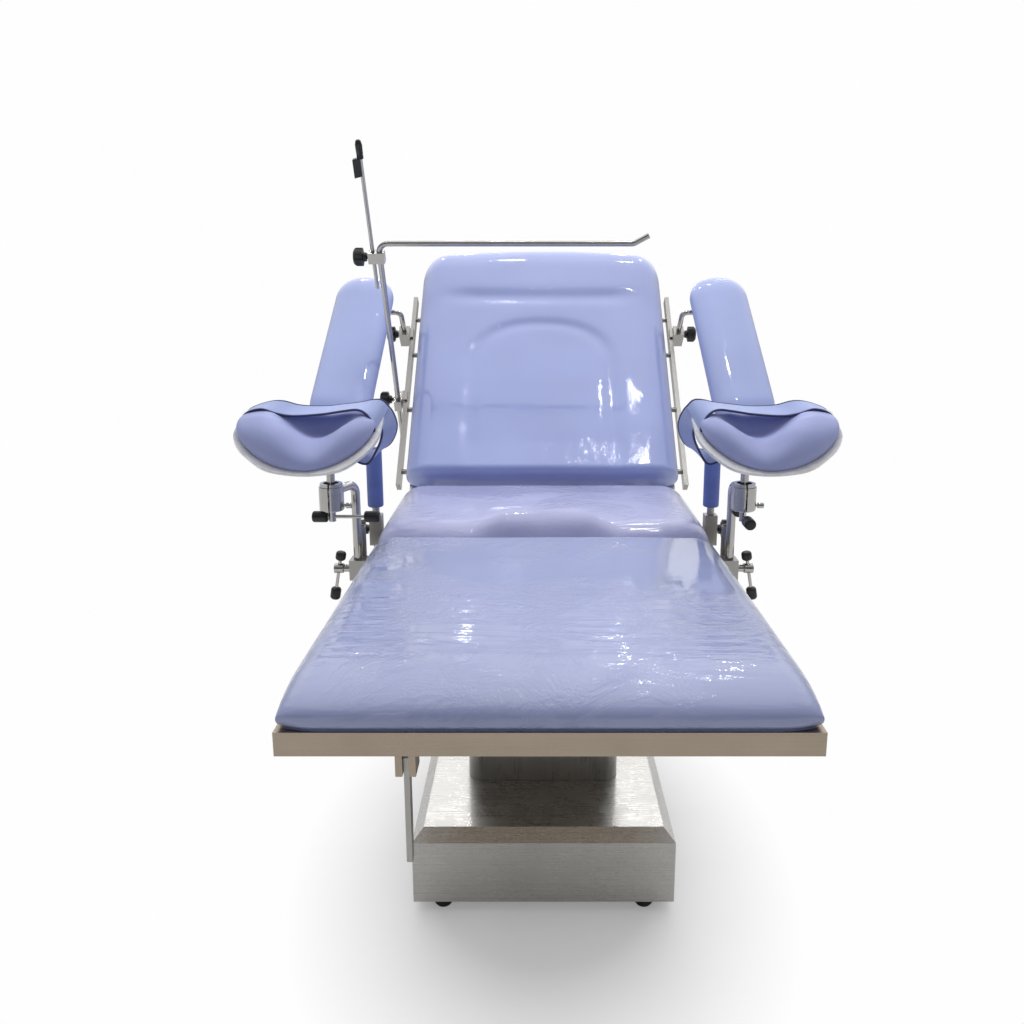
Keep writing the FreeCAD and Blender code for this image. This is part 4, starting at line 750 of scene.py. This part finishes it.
for side, side_name in SIDES:
    foot = TABLE_FRAME @ Matrix.Translation((side * GRIP_X, GRIP_Y, GRIP_LEVEL))
    grip_profile = rounded_ends(0.0155, 0.016, 0.132, 0.0035)
    grip_profile = [(r + 0.0004 * noise.noise(Vector((z * 60, side, 0))), z) for r, z in grip_profile]
    grip = lathe("grip_sleeve_" + side_name, "grip", foot, grip_profile)
    smooth_skin(grip)
    dress(grip, "grip_" + side_name, "foam_grip", FILL, "grip_foam_" + side_name)
    post = (side * (POST_X + REACH_OUT[side]), HOLDER_Y, BAR_LEVEL)
    bar = TABLE_FRAME @ Matrix.Translation(post) @ AXIS_TURN[side]
    for number, ends in enumerate(HANDLE_ENDS[side]):
        cap("handle_cap_%d_%s" % (number, side_name), bar, 0.0099, ends, 0.0038,
            "holder_handle_" + side_name)
    tommy = (TABLE_FRAME @ Matrix.Translation((side * TOMMY_X, TOMMY_Y, TOMMY_LEVEL))
             @ Matrix.Rotation(-side * TOMMY_LEAN, 4, "Y"))
    for number, ends in enumerate(TOMMY_ENDS):
        cap("tommy_cap_%d_%s" % (number, side_name), tommy, 0.0094, ends, 0.0052,
            "leg_screw_" + side_name)
    for number, station in RAIL_SCREWS[side]:
        head = (BACK_FRAME @ Matrix.Translation((side * RAIL_FACE, station, RAIL_LEVEL))
                @ Matrix.Rotation(math.radians(90 * side), 4, "Y"))
        screw = lathe("rail_screw_%d_%s" % (number, side_name), "black", head,
                      rounded_ends(0.0052, -0.0015, 0.0004, 0.0003, steps=2))
        dress(screw, "back", "black_plastic")

SCREEN_LEAN = math.radians(28)
SCREEN_AXLE = BACK_FRAME @ Vector((-0.341, 0.300, RAIL_LEVEL))
SCREEN_FRAME = Matrix.Translation(SCREEN_AXLE) @ Matrix.Rotation(SCREEN_LEAN, 4, "X")
EXTENSION_X, EXTENSION_Y, CLIP_X = -0.014, -0.015, -0.021
SLEEVE = ((0.0045, 0.5805), (0.0064, 0.5808), (0.0069, 0.607), (0.0052, 0.6145), (0.003, 0.6165))
CLIP_OUTLINE = ((-0.0084, 0.5426), (0.0074, 0.5468), (0.0074, 0.5832), (-0.0084, 0.5792))
sleeve = lathe("extension_sleeve", "black",
               SCREEN_FRAME @ Matrix.Translation((EXTENSION_X, EXTENSION_Y, 0)), SLEEVE)
dress(sleeve, "screen_extension", "black_plastic")


def slab(name, look, place, outline, low, high):
    """A flat piece: an outline in the place's XZ plane, from low to high along its Y."""
    count = len(outline)
    points = [place @ Vector((x, y, z)) for y in (low, high) for x, z in outline]
    faces = [tuple(range(count)), tuple(range(count, 2 * count))]
    faces += [(k, (k + 1) % count, count + (k + 1) % count, count + k) for k in range(count)]
    made = mesh_object(name, points, faces, look, smooth=False)
    edge = made.modifiers.new("edge", "BEVEL")
    edge.width = 0.0008
    edge.segments = 2
    return made


clip = slab("extension_clip", "black", SCREEN_FRAME @ Matrix.Translation((CLIP_X, EXTENSION_Y, 0)),
            CLIP_OUTLINE, -0.0049, 0.0049)
dress(clip, "screen_extension", "black_plastic")


# Camera, fitted to the photograph
CAMERA_PLACE = (-0.0161, -1.542, 1.1199)
CAMERA_PITCH = math.radians(78.66)
CAMERA_LENS, CAMERA_SHIFT = 29.158, (-0.02246, -0.0508)


def camera():
    data = bpy.data.cameras.new("camera")
    data.sensor_width = 36
    data.lens = CAMERA_LENS
    data.shift_x, data.shift_y = CAMERA_SHIFT
    data.clip_start = 0.05
    obj = bpy.data.objects.new("camera", data)
    obj.location = CAMERA_PLACE
    obj.rotation_euler = (CAMERA_PITCH, 0, 0)
    scene.collection.objects.link(obj)
    scene.camera = obj


# Floor, backdrop and light
PLAIN_WHITE = (0.99, 0.99, 0.995, 1)
FLOOR_HALF = 14
FLOOR_GREYS = ((0.3, (0.70, 0.70, 0.70)), (0.7, (0.74, 0.74, 0.74)))
# Brightness of the surroundings from below the front to above the back, which SKY_LEAN favours
SKY_STOPS = ((0.0, 0.10), (0.38, 0.14), (0.50, 0.40), (0.66, 0.90), (0.80, 1.1), (0.90, 2.9), (1.0, 2.9))
SKY_LEAN, SKY_STRENGTH = 0.55, 0.44
# Small lights whose reflections make the highlights on the film
CEILING_LIGHTS = ((0.44, -0.16, 3.0), (0.53, -0.56, 3.0), (-0.15, 1.0, 3.0), (0.45, 1.0, 3.0),
                  (-1.1, -1.0, 3.0), (-0.9, 1.9, 3.0), (1.0, 1.9, 3.0), (-0.5, 3.4, 3.0), (0.6, 3.4, 3.0))


def studio_floor():
    """A grey floor that carries the shadow near the base and fades to white further out."""
    s = Shade("studio_floor")
    path = s.node("ShaderNodeLightPath")
    dust = s.noise(3, 3, 0.5)
    s.set(Base_Color=s.colours(dust, *FLOOR_GREYS), Roughness=0.6)
    glow = s.node("ShaderNodeEmission", Color=PLAIN_WHITE, Strength=1.0)
    mix = s.node("ShaderNodeMixShader")
    spread = s.node("ShaderNodeVectorMath", {"operation": "LENGTH"}, Vector=s.stretched(1.25, 0.9, 1.0))
    fade = s.span(spread.outputs["Value"], 0.30, 0.62, 0.25, 1.0)
    s.feed(mix.inputs[0], s.math("MULTIPLY", path.outputs["Is Camera Ray"], fade))
    s.feed(mix.inputs[1], s.bsdf.outputs[0])
    s.feed(mix.inputs[2], glow.outputs[0])
    s.feed(s.tree.nodes["Material Output"].inputs[0], mix.outputs[0])
    looks["floor"] = s.material
    corners = [(x * FLOOR_HALF, y * FLOOR_HALF, 0) for x, y in ((-1, -1), (1, -1), (1, 1), (-1, 1))]
    mesh_object("studio_floor", corners, [(0, 1, 2, 3)], "floor")


def studio_world():
    """White to the camera; to the object, a room that is bright above the back."""
    world = bpy.data.worlds.new("studio_world")
    world.use_nodes = True
    scene.world = world
    tree = world.node_tree
    background = tree.nodes["Background"]
    white = tree.nodes.new("ShaderNodeBackground")
    white.inputs["Color"].default_value = PLAIN_WHITE
    coords = tree.nodes.new("ShaderNodeTexCoord")
    split = tree.nodes.new("ShaderNodeSeparateXYZ")
    tree.links.new(coords.outputs["Generated"], split.inputs[0])
    ramp = tree.nodes.new("ShaderNodeValToRGB")
    elements = ramp.color_ramp.elements
    while len(elements) < len(SKY_STOPS):
        elements.new(0.5)
    for element, (place, level) in zip(elements, SKY_STOPS):
        element.position = place
        element.color = (level, level, level * 1.01, 1)
    span = tree.nodes.new("ShaderNodeMapRange")
    span.inputs["From Min"].default_value = -1
    lean = tree.nodes.new("ShaderNodeMath")
    lean.operation = "MULTIPLY_ADD"
    lean.inputs[1].default_value = SKY_LEAN
    tree.links.new(split.outputs["Y"], lean.inputs[0])
    tree.links.new(split.outputs["Z"], lean.inputs[2])
    tree.links.new(lean.outputs[0], span.inputs["Value"])
    tree.links.new(span.outputs[0], ramp.inputs[0])
    tree.links.new(ramp.outputs[0], background.inputs["Color"])
    background.inputs["Strength"].default_value = SKY_STRENGTH
    path = tree.nodes.new("ShaderNodeLightPath")
    mix = tree.nodes.new("ShaderNodeMixShader")
    tree.links.new(path.outputs["Is Camera Ray"], mix.inputs[0])
    tree.links.new(background.outputs[0], mix.inputs[1])
    tree.links.new(white.outputs[0], mix.inputs[2])
    tree.links.new(mix.outputs[0], tree.nodes["World Output"].inputs[0])


def lamp(name, place, aim, size, power, shape="RECTANGLE", glossy=False):
    data = bpy.data.lights.new(name, "AREA")
    data.shape = shape
    data.size, data.size_y = size
    data.energy = power
    obj = bpy.data.objects.new(name, data)
    obj.location = place
    obj.rotation_euler = (Vector(aim) - Vector(place)).to_track_quat("-Z", "Y").to_euler()
    obj.visible_glossy = glossy
    scene.collection.objects.link(obj)


def lamps():
    seat = (0, 0, 0.7)
    lamp("ceiling", (0, 0.2, 4.2), (0, 0.1, 0.6), (4.0, 4.0), 43)
    lamp("front_left", (-2.6, -3.0, 2.6), seat, (1.4, 1.4), 6)
    lamp("front_right", (2.6, -2.6, 2.4), seat, (1.2, 1.2), 5)
    lamp("rear_window", (0.3, 4.2, 2.9), seat, (3.6, 1.3), 14)
    for index, place in enumerate(CEILING_LIGHTS):
        lamp("ceiling_light_%d" % index, place, seat, (0.09, 0.09), 1.5, "DISK", glossy=True)


camera()
studio_floor()
studio_world()
lamps()
